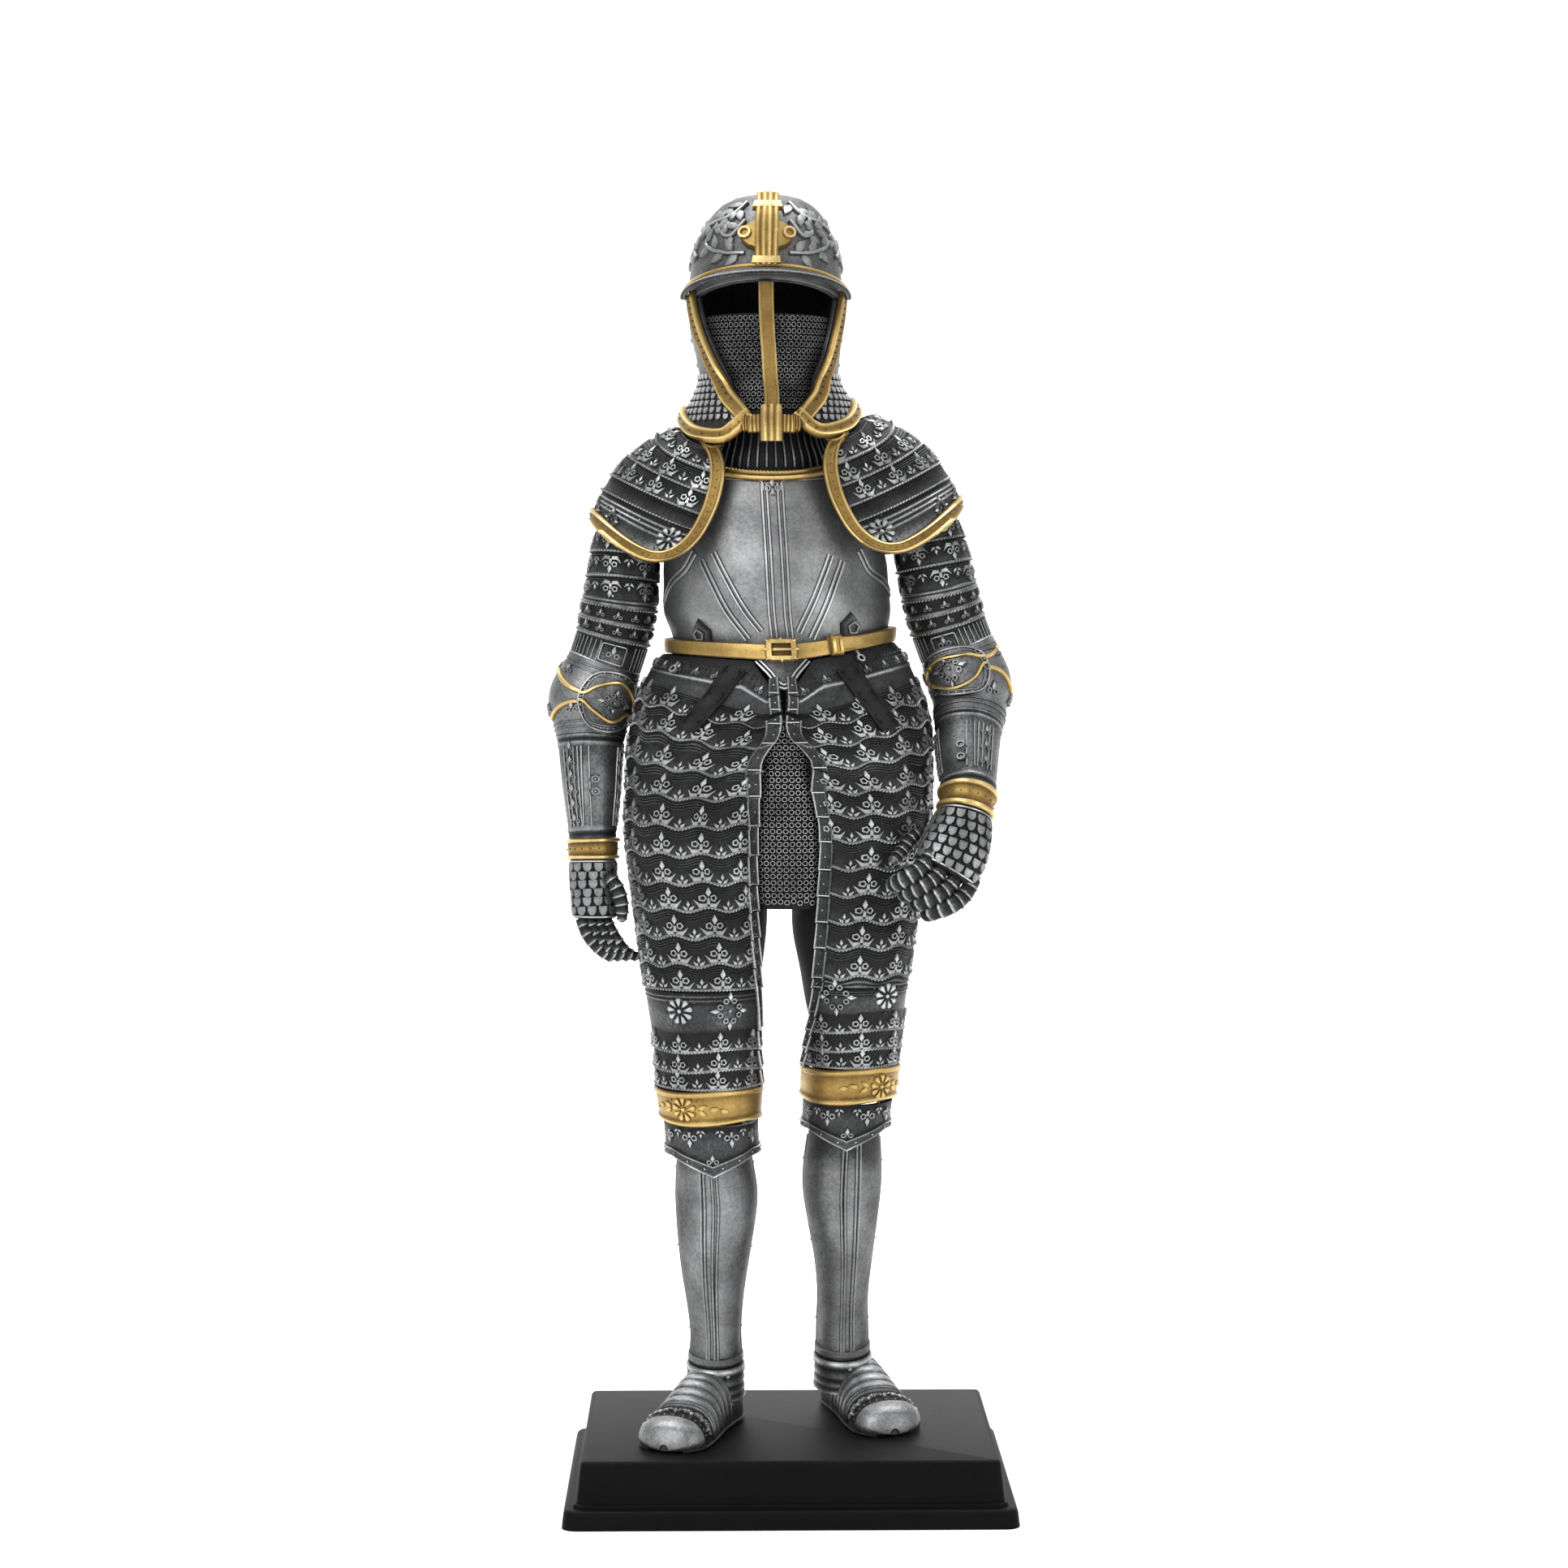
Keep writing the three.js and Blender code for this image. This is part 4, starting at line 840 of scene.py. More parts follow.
def edge_strip(work, side, edge, levels, width):
    """Short riveted strips down an open edge, one for each lame, each standing out over the next."""
    away = 1 if side == "l" else -1

    def at_edge(z, share):
        """Turns that lie a share of the strip's width in from the edge."""
        turn = edge(np.array([z]))
        return turn + away * width * share / pace(work.surface, turn, np.array([z]))[0]

    strip = [(0.15, 0.5), (0.45, 0.95), (0.8, 0.6), (width - 0.6, 0.6), (width - 0.3, 0.95), (width, 0.2)]
    # The path runs down, so its right is the wearer's right.
    profile = sorted((-away * offset, height, 1 if height > 0.9 else 0.3) for offset, height in strip)
    for high, low in zip(levels, levels[1:]):
        z = np.linspace(high - 0.1, low + 0.15, max(4, int((high - low) / 1.2)))
        work.laid(edge(z), z, profile, rise=np.linspace(0.75, 1.25, len(z)))
        foot = z[-1] + 0.25
        work.laid(at_edge(foot, np.array([0.16, 0.5, 0.94])), foot, ridge(0.55, 1.045), out=0.1)
        middle = (high + low) / 2
        work.stamp(rivet, at_edge(middle, 0.52), middle, 0.8, 0, 0.6, relief=(0.1, 0.95))


for side in "rl":
    sign, surface, at = SIGN[side], leg[side], leg_edge[side]

    def inner(z):
        return -sign * at(z)[6]

    def wave(line, phase):
        """A level line with a gentle rise under each big fleur."""
        turns = np.linspace(-200, 200, 801)
        run = run_of(surface, line, turns)[1]
        middle = np.interp(phase, turns, run)
        rise = lambda turn: np.cos((np.interp(turn, turns, run) - middle) / FLEUR_PITCH * math.tau)
        return lambda turn: read(line, turn) + WAVE * rise(turn) - WAVE * 0.3

    base = [row_line(185.6, 5.4)] + [row_line(z, rise) for z, rise in zip(EDGES[side], RISE + [0] * 9)]
    phases = [column_turn(side, at_one(line, 0) + 2) for line in base]
    lines = [wave(line, phase) if z > 123 else line for line, phase, z in zip(base, phases, [186] + EDGES[side])]
    back = lambda z: sign * np.where(z > 172, 176, 160)

    # The skirt under the belt: fine hatching, a slanting line with small fleurs, and a plain band.
    work = Work(surface)
    top = lambda t: belt_middle(t) - 2.5 - waist_point(t)
    skirt = [
        (0, 0, 0.05), (0.12, 0.05, 0.2), (0.3, 0.05, 0.3), (0.5, 0.05, 0.26), (0.56, 0.35, 0.8), (0.62, 0.05, 0.3),
        (0.8, 0.05, 0.36), (1, 0.05, 0.3)
    ]
    rows, form = banded([skirt])
    ends = sorted((at_one(inner, 195), sign * 176))
    work.plate(*reach(sign, inner, 176), [top, lambda t: fauld_low(t) - 0.4], 72, rows, form)
    slant = lambda t: mix(top(t), fauld_low(t), 0.56)
    turn, z, slope = stations(surface, slant, *ends, 5.4, column_turn(side, 194) - 6)
    work.stamp(small_fleur, turn, z + 0.3, 0.8, slope, relief=(0.15, 0.85))
    for share in (0.2, 0.3, 0.4, 0.47):
        # The hatching is rows of short fine dashes.
        line = lambda t: mix(top(t), fauld_low(t), share)
        turn, z, slope = stations(surface, line, *ends, 1.3, share * 20)
        work.stamp(cord_turn, turn, z, 0.7, slope + 55, -0.05, relief=(0.05, 0.5))
    edge_strip(work, side, inner, [197.5, 193.2, 189.4], 2.6)
    work.done(f"fauld_{side}")

    # Tassets: lames from the hip to the thigh.
    work = Work(surface)
    # The wearer's left has one more lame, plain and narrow.
    narrow = [PLAIN[:6] * [4, 1, 1]] if side == "l" else []
    kinds = [LAME] * (len(lines) - len(narrow)) + narrow
    work.plate(*reach(sign, inner, back), [lambda t: fauld_low(t) - 0.4] + lines, 116, *banded(kinds))
    for line, phase in list(zip(lines, phases))[: len(lines) - len(narrow)]:
        level = at_one(line, 0)
        start, stop = sorted((at_one(inner, level), at_one(back, level)))
        begin, end = (start + 3.5, stop) if sign > 0 else (start, stop - 3.5)
        roped(work, lambda t: read(line, t) + 0.3, begin, end)
        low, high = (start + 12, stop - 2) if sign > 0 else (start + 2, stop - 12)
        fleur_row(work, lambda t: read(line, t) + 0.55, low, high, phase)
    levels = [188.6] + [at_one(line, at_one(inner, z)) for line, z in zip(lines, [184] + EDGES[side])]
    edge_strip(work, side, inner, levels, 3.6)
    work.done(f"tasset_{side}")


# ---- Thigh plates, knees and greaves -------------------------------------------------------------
ROW = np.array([
    (0, 0, 0.05), (0.08, 0, 0.1), (0.5, 0.03, 0.2), (0.8, 0.1, 0.3), (0.87, 0.42, 0.62), (0.95, 0.5, 0.72),
    (1, 0.25, 0.4),
])
KNEE = {
    "r": dict(
        rows=(112.4, 107.6, 102.8, 98.4), band=(98.3, 90), tip=77.2, rosette_x=-25.9, cross_x=-14.3, field=117.6
    ),
    "l": dict(rows=(116, 111.4, 106.8, 102.6), band=(102.5, 94), tip=82.4, rosette_x=23.3, cross_x=11.4, field=120.2),
}


def wavy(z, depth, waves, phase=0):
    """A line that rises and falls about a height."""
    return lambda t: z + depth * np.sin(np.radians(t * waves + phase))


for side in "rl":
    sign, surface, at, knee = SIGN[side], leg[side], leg_edge[side], KNEE[side]

    def inner(z):
        return -sign * at(z)[6]

    work = Work(surface)
    upper, first, second, low = knee["rows"]
    rows, form = banded([PLAIN, ROW, ROW, ROW])
    lines = [121.95, *(wavy(z, 0.4, 3) for z in (upper, first, second)), low]
    work.plate(*reach(sign, inner, 160), lines, 80, rows, form)
    for line in (*lines[2:4], low + 0.4):
        z = at_one(line, 0)
        start, stop = sorted((at_one(inner, z), sign * 158))
        roped(work, lambda t: read(line, t) + 0.25, start, stop)
        low_end, high_end = (start + 17, stop) if sign > 0 else (start, stop - 17)
        fleur_row(work, lambda t: read(line, t) + 0.3, low_end, high_end, column_turn(side, z), size=0.92)
    middle = knee["field"]
    for x, ornament, size in ((knee["rosette_x"], daisy, 1.02), (knee["cross_x"], cross, 1.2)):
        work.stamp(ornament, turn_of_x(surface, x, middle), middle, size, 0, 0.05, relief=(0.2, 1), squash=1.2)
    edge_strip(work, side, inner, [122.2, upper, first, second, low], 3)
    work.done(f"thigh_plate_{side}")

    # Gilt band with a wavy lower edge and a rosette.
    work = Work(surface, GILT)
    high, low = knee["band"]
    wavy_band = [
        (0, 0.1, 0.25), (0.05, 0.55, 0.8), (0.13, 0.6, 0.7), (0.19, 0.25, 0.35), (0.3, 0.22, 0.5), (0.5, 0.3, 0.6),
        (0.72, 0.22, 0.5), (0.82, 0.25, 0.3), (0.88, 0.65, 0.7), (0.95, 0.6, 0.85), (1, 0.15, 0.3)
    ]
    work.plate(
        *reach(sign, inner, 160), [wavy(high, 0.35, 2.4, 20), wavy(low + 0.2, 0.5, 2.4, -30)], 70,
        *banded([wavy_band]), out=0.4
    )
    z = (high + low) / 2
    turn = turn_of_x(surface, knee["rosette_x"] + (1.2 if side == "r" else -1.6), z)
    work.stamp(daisy, turn, z, 0.95, 0, 0.55, relief=(0.1, 0.95), squash=1.1)
    for step_turn, lean in (
        (15, 62), (15, 118), (-15, -62), (-15, -118), (27, 80), (-27, -80), (38, 100), (-38, -100)
    ):
        work.stamp(leaf, turn + step_turn, z, 0.9, -lean, 0.5, relief=(0.15, 0.85))
    work.done(f"knee_band_{side}")

    # Pointed lame under the band with a riveted border.
    work = Work(surface)
    tip = knee["tip"]
    pointed = lambda t: mix(tip, tip + 4.8, np.minimum(np.abs(t) / 55, 1) ** 0.9)
    work.plate(
        -128, 128, [low - 0.3, pointed], 72,
        *banded(
            [
                [
                    (0, 0, 0.05), (0.15, 0.05, 0.3), (0.35, 0.12, 0.4), (0.6, 0.2, 0.35), (0.74, 0.2, 0.2),
                    (0.76, 0.75, 0.95), (0.8, 0.55, 0.4), (0.93, 0.55, 0.4), (0.97, 0.85, 0.95), (1, 0.3, 0.6)
                ]
            ]
        )
    )
    border = lambda t: mix(low - 0.3, pointed(t), 0.865)
    turn, z, _ = stations(surface, border, -120, 120, 4.4, 2.2 / 0.2)
    work.stamp(rivet, turn, z, 0.85, 0, 0.55, relief=(0.1, 0.95))
    work.stamp(small_fleur, 0, pointed(0) + 3.2, 1, 0, 0.15)
    work.stamp(fleur, np.array([-26, 24, -58, 56]), low - 1.2, 0.9 * np.array([1.05, 1.05, 0.9, 0.9]), 180, 0.1)
    work.stamp(sprig, np.array([-12, 10, -42, 40]), low - 1, 0.8, 180, 0.1)
    work.done(f"knee_lame_{side}")

    # Greave: satin plate with two pairs of raised lines down the front and a seam at each side.
    work = Work(shin[side], SATIN)
    # Painted shade: the tone falls toward the sides, where the plate turns from the light, at the top under the knee
    # lame, and at the foot by the ankle collar.
    work.tube(
        [88, 29.9], 64, 44,
        lambda t, z, row: (
            0,
            0.56 - 0.3 * np.clip(
                (np.abs(near_front(t)) - 15) / 60, 0, 1
            ) - 0.3 * np.clip((z - 78) / 8, 0, 1) - 0.3 * np.clip((34 - z) / 4, 0, 1)
        )
    )
    top_z = knee["tip"] + 3
    for base in (-22, -16.5, -4.5, 2.5) if side == "r" else (-2.5, 3, 19, 25):
        z = np.linspace(top_z, 30.6, 60)
        turn = base - 2 * sign * (z - top_z) / (30.6 - top_z)
        work.laid(turn, z, ridge(0.9, 0.36), relief=(0, 0.62))
    for edge in (96, -96):
        z = np.linspace(84, 31, 40)
        work.laid(edge, z, [(-0.9, 0), (-0.6, 0.25), (0.25, 0.3), (0.3, 0)], relief=(0.15, 0.85))
        work.stamp(rivet, edge, np.array([78, 58, 38]), 1, 0, 0.2)
    work.laid(np.linspace(-180, 180, 49), 31.2, even((0.7, 0.5), (1, 0)), relief=(0.05, 0.42))
    work.done(f"greave_{side}")

    # Hose: a plain knitted tube under the plates.
    work = Work(hose[side])
    work.tube([164, 100], 40, 26, lambda t, z, row: (0.12 * np.sin(np.radians(t * 5) + z * 0.35), 0.5))
    stocking = work.done(f"hose_{side}", [hose_cloth])


# ---- Sabatons ------------------------------------------------------------------------------------
# Along the foot from the toe: half width and height of the top over the sole.
foot_at = reader([
    (0, 0.7, 1.4), (0.45, 3.4, 3), (1.8, 6.2, 5.3), (5, 8.1, 6.8), (10, 8.3, 7.8), (16, 7.8, 9.6), (22, 7.1, 12.2),
    (28, 6.9, 13.4), (34, 7, 13.4), (38, 5.6, 12.4), (39.3, 3.4, 10.6), (39.8, 0.8, 8.6),
])
SOLE = {"r": ((-29.6, -26.6), (-15.2, 12.2)), "l": ((25.2, -12.6), (13.6, 25.6))}
SOLE_Z = 15.25


def foot(side):
    toe, heel = (np.array(p) for p in SOLE[side])
    along = (heel - toe) / np.linalg.norm(heel - toe)
    across = np.array([along[1], -along[0]])

    def surface(turn, s):
        turn, s = np.broadcast_arrays(np.asarray(turn, float), np.asarray(s, float))
        _, wide, high = foot_at(s)
        sin, cos = turned(turn)
        level = np.where(cos > 0, power(cos, 0.75), 0)
        p = toe + along * s[..., None] + across * (wide * power(sin, 0.8))[..., None]
        return np.concatenate([p, (SOLE_Z + high * level)[..., None]], -1)

    return surface


for side in "rl":
    surface = foot(side)
    work = Work(surface)

    def shaped(turn, s, row):
        """Ridged lames over the instep, a band above the toes, a smooth cap, and a plain heel."""
        topside = np.cos(np.radians(turn)) > 0.02
        lames = np.where((s > 13.2) & (s < 27.5), 0.46 * np.abs(np.sin((s - 13.2) / 14.3 * math.pi * 5)) ** 0.6, 0)
        ridges = 0.4 * np.exp(-(((s - 12.6) / 0.32) ** 2)) + 0.4 * np.exp(-(((s - 11.3) / 0.32) ** 2))
        cap = 0.5 * np.clip((5.4 - s) / 0.4, 0, 1)
        groove = -0.15 * np.exp(-(((s - 10.2) / 0.3) ** 2)) - 0.15 * np.exp(-(((s - 5.6) / 0.25) ** 2))
        height = np.where(topside, lames + ridges + cap + groove, 0)
        dark = 0.3 + 0.8 * height - 0.2 * ((s > 5.4) & (s < 11)) - 0.05 * (s < 5.4)
        # Painted shade: the tone falls toward the foot's sides, where the top turns down from the light.
        low = np.clip((np.cos(np.radians(turn)) - 0.02) / 0.25, 0, 1)
        return height, np.where(topside, dark * mix(0.45, 1, low), 0.1)

    work.tube(
        [39.75, 37, 34, 28, 18, 10, 5.5, 2, 0.05], 48,
        np.concatenate(
            [
                np.linspace(0, 3, 10)[:-1], np.linspace(3, 4, 37)[:-1], np.linspace(4, 5, 33)[:-1],
                np.linspace(5, 6, 9)[:-1], np.linspace(6, 8, 14)
            ]
        ),
        shaped
    )
    # The open ends at heel and toe are closed by small caps bent to the same ends.
    for s_end, lift in ((39.75, 1), (0.05, -1)):
        disc = boss(
            [(math.cos(math.radians(a)), math.sin(math.radians(a))) for a in range(0, 360, 30)], 0.3, 0.1, 0.8
        )
        mesh, points, _ = disc
        ring_turn = np.degrees(np.arctan2(points[:, 0], points[:, 1]))
        rim = surface(ring_turn, np.full(len(points), s_end))
        middle = surface(np.array([0, 180]), np.full(2, s_end)).mean(0)
        radial = np.hypot(points[:, 0], points[:, 1])[:, None]
        toe, heel = (np.array(p) for p in SOLE[side])
        out = np.append((heel - toe) / np.linalg.norm(heel - toe) * lift, 0)
        places = middle + (rim - middle) * np.minimum(radial * 0.98, 1) + out * np.where(
            points[:, 2:] > 0, 0.35, -0.4
        )
        work.add(mesh, places, 0.45)
    # Openwork band of small fleurs over the toes, and rivets by the lames.
    turns = np.arange(-66, 67, 22)
    work.stamp(small_fleur, turns, 9.6, 1, 180, 0)
    work.stamp(sprig, turns[:-1] + 11, 9.4, 0.75, 180, 0)
    work.stamp(dot, np.arange(-72, 73, 12), 6.2, 0.9, 0, 0)
    for s_row in (18.3, 28):
        work.stamp(rivet, np.array([-74, -60, 60, 74]), s_row, 1, 0, 0)
    # Sole edge: a thin welt all round.
    s = np.linspace(0.8, 38.5, 40)
    for turn in (-89, 89):
        work.laid(turn, s, ridge(0.9, 0.35), relief=(0.05, 0.35))
    # Ankle collar over the greave's lower end.
    work.tube(
        [29.6, 21.6], 48,
        *banded(
            [
                [
                    (0, 0.1, 0.4), (0.08, 0.55, 0.9), (0.22, 0.55, 0.5), (0.3, 0.15, 0.25), (0.5, 0.35, 0.75),
                    (0.6, 0.1, 0.2), (0.75, 0.45, 0.8), (0.86, 0.2, 0.25), (1, 0.6, 0.7)
                ]
            ]
        ),
        out=0.3, on=shin[side]
    )
    work.stamp(rivet, 24 if side == "r" else 12, 27.8, 1.5, 0, 0.8, on=shin[side])
    work.done(f"sabaton_{side}")


# ---- Breastplate, backplate, neckline and belt ---------------------------------------------------
def neckline(turn):
    return 246.2 - 1.4 * np.maximum(1 - (turn / 40) ** 2, 0)


def line_pair(work, points, gaps, height=0.42, steps=40):
    """Raised lines side by side, each gap in millimetres to the right of the path."""
    turn, z = path(*points, steps=steps)
    for gap in gaps:
        work.laid(turn, z, ridge(0.9, height, gap), relief=(0.04, 0.95))


work = Work(torso, SATIN)
opening = lambda z: np.minimum(half_turn_at(z)[1], 89.4)


def breast_painted_shade(turn, z, row):
    """Satin plate with painted shade: darker toward its edges, where they turn from the light, under the belt and
    beside the ridge.
    """
    side_shade = np.clip((np.abs(turn) - 48) / 45, 0, 1)
    low = np.clip((207.5 - z) / 5, 0, 1) + np.clip((z - 243) / 3.5, 0, 1)
    return 0, 0.6 - 0.34 * side_shade - 0.3 * np.clip(low, 0, 1)


work.plate(
    lambda z: -opening(z), opening, [neckline, lambda t: belt_middle(t) - 1.6 - waist_point(t)], 96, 64, breast_painted_shade
)
ridge_x = ((242.5, 0), (225, 0.1), (205.5, 0.6))
line_pair(work, [(t, z) for z, t in ridge_x], (-2.45, -1.25, 1.25, 2.45))
for side in (-1, 1):
    bend = [(side * 5.4, 240.8), (side * 5.8, 242.6), (side * 9, 243.4), (side * 22, 243.6), (side * 36, 244)]
    line_pair(work, bend, (0,), height=0.32)
    if side < 0:
        line_pair(work, [(-41.5, 224.2), (-30, 214.5), (-18.6, 205.6)], (0, -1.15, -3.9, -5))
        line_pair(work, [(-78, 213.8), (-68, 218), (-52.5, 221.6), (-44, 226)], (0, -1.3), height=0.4)
    else:
        line_pair(work, [(36.2, 224), (27, 215), (17.2, 205.8)], (0, 1.15, 3.4, 4.5))
        line_pair(work, [(84, 216), (70, 218.8), (54, 221.4), (46, 226.5)], (0, 1.3), height=0.4)
# The point of the breastplate below the belt.
line_pair(
    work, [(-12.5, 201.4), (-6.5, 198.6), (0, 195.3), (6.5, 198.6), (12.5, 201.4)], (0, 0.9), height=0.4, steps=24
)
work.stamp(fleur, 0.2, 239.6, 1, 0, 0.1)
staple = together(
    (boss([(-2.9, 0), (2.9, 0), (3.3, 3.8), (0, 7), (-3.3, 3.8)], 1.3, -0.15, 0.74), 0, 0, 0, 1),
    (curl(1.55, 0.45, 1.75, 5), 0, 2.7, 18, 1),
)
for turn, z in ((-44.5, 204.6), (38.4, 206.2)):
    work.stamp(staple, turn, z, 0.92, 0, 0, relief=(0.02, 0.62), finish=DARK)
work.done("breastplate")

work = Work(torso, SATIN)
rear_left, rear_right = lambda z: 180 - opening(z) + 0.4, lambda z: 180 + opening(z) - 0.4
# Painted shade: the plate's tone darkens toward the belt at its foot.
work.plate(
    rear_left, rear_right, [246, lambda t: belt_middle(t) - 1.6], 72, 48,
    lambda t, z, r: (0, 0.56 - 0.3 * np.clip((208 - z) / 6, 0, 1))
)
line_pair(work, [(180, 243), (180, 205)], (-0.7, 0.7))
for side in (-1, 1):
    line_pair(work, [(180 + side * 28, 241), (180 + side * 22, 224), (180 + side * 12, 205.5)], (0, 1.2))
line_pair(work, [(143, 243.6), (217, 243.6)], (0,), height=0.5)
work.done("backplate")

work = Work(torso)
turns = np.linspace(-39, 39, 48)
work.laid(
    turns, neckline(turns) - 0.7,
    [
        (-1.25, 0, 0.1), (-1.1, 0.75, 0.6), (-0.6, 1.2, 0.95), (-0.15, 0.8, 0.2), (0.1, 0.8, 0.2), (0.6, 1.2, 0.95),
        (1.05, 0.75, 0.6), (1.2, 0, 0.1)
    ],
    out=0.4, finish=GILT
)
roped(work, lambda t: neckline(t) - 0.1, -38, 38, 0.8, 0.9, 1.5, GILT)
work.done("neck_band")

work = Work(torso, GILT)
band = [(0, 0, 0.25), (0.06, 0.25, 0.75), (0.5, 0.4, 0.62), (0.94, 0.25, 0.7), (1, 0, 0.2)]
work.tube([lambda t: belt_middle(t) + 1.5, lambda t: belt_middle(t) - 2.35], 120, *banded([band]), out=1.9)
tongue = boss(
    [(-4.6, -1.85), (2.4, -1.85), (4.4, -1), (4.8, 0), (4.4, 1), (2.4, 1.85), (-4.6, 1.85)], 0.75, 0.1, 0.86
)
work.stamp(tongue, 33, float(belt_middle(33)), 1, 5, 2.2, relief=(0.2, 0.8))
for gap in (-150, 150, 180):
    work.stamp(slab(1.3, 2.3, 0.6, 0.1, 0.8), gap, float(belt_middle(gap)), 1, 0, 2.1, relief=(0.2, 0.9))
work.done("belt")

work = Work(torso, GILT)


def hoop(half_wide, half_high, corner=0.6):
    """Corners of a rounded frame, as offsets in millimetres."""
    points = []
    for sx, sy, start in ((1, -1, -90), (1, 1, 0), (-1, 1, 90), (-1, -1, 180)):
        for a in (0, 30, 60, 90):
            r = math.radians(start + a)
            points.append(
                (sx * (half_wide - corner) + corner * math.cos(r), sy * (half_high - corner) + corner * math.sin(r))
            )
    return points + points[:1]


def framed(work, turn, z, points, profile, out, **options):
    """A closed frame of a few points laid about a place on a surface."""
    per_turn, per_z = pace(work.surface, np.array([float(turn)]), np.array([float(z)]))
    p = np.array(points)
    work.laid(turn + p[:, 0] / per_turn[0], z + p[:, 1] / per_z[0], profile, out=out, **options)


buckle_z = 203.4
framed(work, -0.4, buckle_z, hoop(2.55, 2.2), even((0.5, 1), (0.85, 0.2)), 2.9, relief=(0.2, 0.9), sink=0.6)
work.stamp(slab(2.3, 1.9, 0.4, 0.05, 0.9), -0.4, buckle_z, 1, 0, 2.5, relief=(0.05, 0.3))
work.stamp(
    boss([(-2.2, -0.42), (2.7, -0.3), (2.7, 0.3), (-2.2, 0.42)], 0.7, 0.1, 0.8), -0.4, buckle_z, 1, 0, 3.4,
    relief=(0.3, 1)
)
for dx, dy, lean in (
    (-2.2, 1.8, 45), (2.2, 1.8, -45), (-2.2, -1.8, 135), (2.2, -1.8, -135), (-2.4, 0, 90), (2.4, 0, -90), (0, 2, 0),
    (0, -2, 180)
):
    per_turn, per_z = pace(torso, np.array([0]), np.array([buckle_z]))
    work.stamp(petal, -0.4 + dx / per_turn[0], buckle_z + dy, 0.5, lean, 3.7, relief=(0.3, 1))
work.done("buckle")

work = Work(torso, GILT)
keeper_z = float(belt_middle(26.7)) - 0.1
work.stamp(slab(1.5, 2.75, 0.5, 0.05, 0.86), 26.7, keeper_z, 1, 4, 2.9, relief=(0.15, 0.6))
work.stamp(slab(0.5, 2.7, 0.55, 0.1, 0.6), np.array([24.9, 28.5]), keeper_z, 1, 4, 3.2, relief=(0.3, 1))
work.done("belt_keeper")

# Straps that hold the tassets, and the small hooks under the belt.
for side in "rl":
    sign, surface = SIGN[side], leg[side]
    work = Work(surface, LEATHER)
    start = 19.5 if side == "r" else 27.5
    z = np.linspace(199, 184.8, 18)
    turn = sign * (start + (198 - z) * 0.66)
    work.laid(
        turn, z, even((0, 1.1, 0.3), (2.2, 0.95, 0.3), (2.7, 0.8, 0.3), (2.9, 0, 0.3)), out=0.55,
        rise=1 + 0.25 * np.sin(z * 1.1)
    )
    for x in (-2, 2):
        work.laid(turn, z, [(x - 0.2, 0, 0.5), (x, 0.3, 0.5), (x + 0.2, 0, 0.5)], out=1.3)
    for away in (-1.45, 1.45):
        work.stamp(
            dot, turn[1::2] + away / pace(surface, turn[1::2], z[1::2])[0], z[1::2], 0.8, 0, 1.6, relief=(0.1, 0.5)
        )
    hook = together(
        (curl(0.8, 0.32, 0.9, 7), 0, 0, 0, 1),
        (boss([(-0.5, 0.6), (0.5, 0.6), (0.4, 2.2), (-0.4, 2.2)], 0.6, 0.1, 0.7), 0, 0, 0, 1)
    )
    spot = turn_of_x(surface, -27 if side == "r" else 17.8, 198)
    work.stamp(hook, spot, 198.4 if side == "r" else 201.2, 1, 0, 0.5, relief=(0.2, 1), finish=DARK)
    work.done(f"strap_{side}")


# ---- Mail ----------------------------------------------------------------------------------------
def mail_rows(work, left, right, top, low, across=1.35, down=1.42, size=0.98, ragged=0, bright=0.8):
    """Rows of rings that lie over each other, each row shifted by half a ring."""
    for k, z in enumerate(np.arange(top, low, -down)):
        start, stop = at_one(left, z), at_one(right, z)
        turn, height, _ = stations(work.surface, float(z), start + (0.5 if k % 2 else 0), stop, across)
        lower = ragged * np.sin(turn * 1.7 + k) * (z - down < low)
        work.stamp(
            mail_ring, turn, height + lower, size, 12 * (-1) ** k, 0.25 + 0.06 * (k % 2), relief=(0.05, bright),
            squash=1.1
        )


work = Work(veil)
work.plate(-35, 35, [198, 141.2], 24, 40, lambda t, z, r: (0, 0.1), wall=0.8)
mail_rows(work, -34, 34, 186.5, 141.8, 1.5, 1.55, 1.02, ragged=0.3)
work.done("mail_skirt", [mail_steel])

work = Work(head)
work.plate(-66, 66, [282.5, 258.5], 30, 20, lambda t, z, r: (0, 0.08), out=-2.1, wall=0.9)
# The rings' tops are dimmer than on the skirt's mail: painted shade under the helmet.
mail_rows(work, -64, 64, 281.6, 259.5, 1.5, 1.5, 1.02, bright=0.66)
# The rings are drawn in behind the cheeks, onto the sheet.
veil_sheet, *rings = work.parts
work.parts = [veil_sheet]
for mesh, points, relief, finish in rings:
    away = points - HEAD_MIDDLE
    away[..., 2] = 0
    work.add(mesh, points - unit(away) * 2.15, relief, finish)
work.done("mail_veil", [mail_steel])


# ---- Neck and helmet -----------------------------------------------------------------------------
work = Work(neck)
work.tube([257.5, 245.2], 60, 12, lambda t, z, r: (0, 0.12), out=-0.2)
for turn in np.arange(-84, 85, 8):
    z = np.linspace(256.5, 246.6, 10)
    work.laid(turn, z, ridge(0.7, 0.45), rise=np.linspace(1.3, 0.5, 10), relief=(0.02, 0.66))
for turn in np.arange(96, 265, 8):
    z = np.linspace(256.5, 246.6, 6)
    work.laid(turn, z, ridge(0.7, 0.4), relief=(0.05, 0.8))
work.done("gorget")

helmet_low_at = reader([(0, 256.3), (16, 256.3), (30, 252.5), (52, 253.2), (82, 257.6), (105, 258.4), (180, 255)])


def helmet_low(turn):
    t = near_front(turn)
    return helmet_low_at(np.abs(t))[1] + 2.2 * np.maximum(np.sin(np.radians(t)), 0)


def brow(turn):
    return 284.5 + 5.5 * np.maximum(np.cos(np.radians(turn)), -1.2)


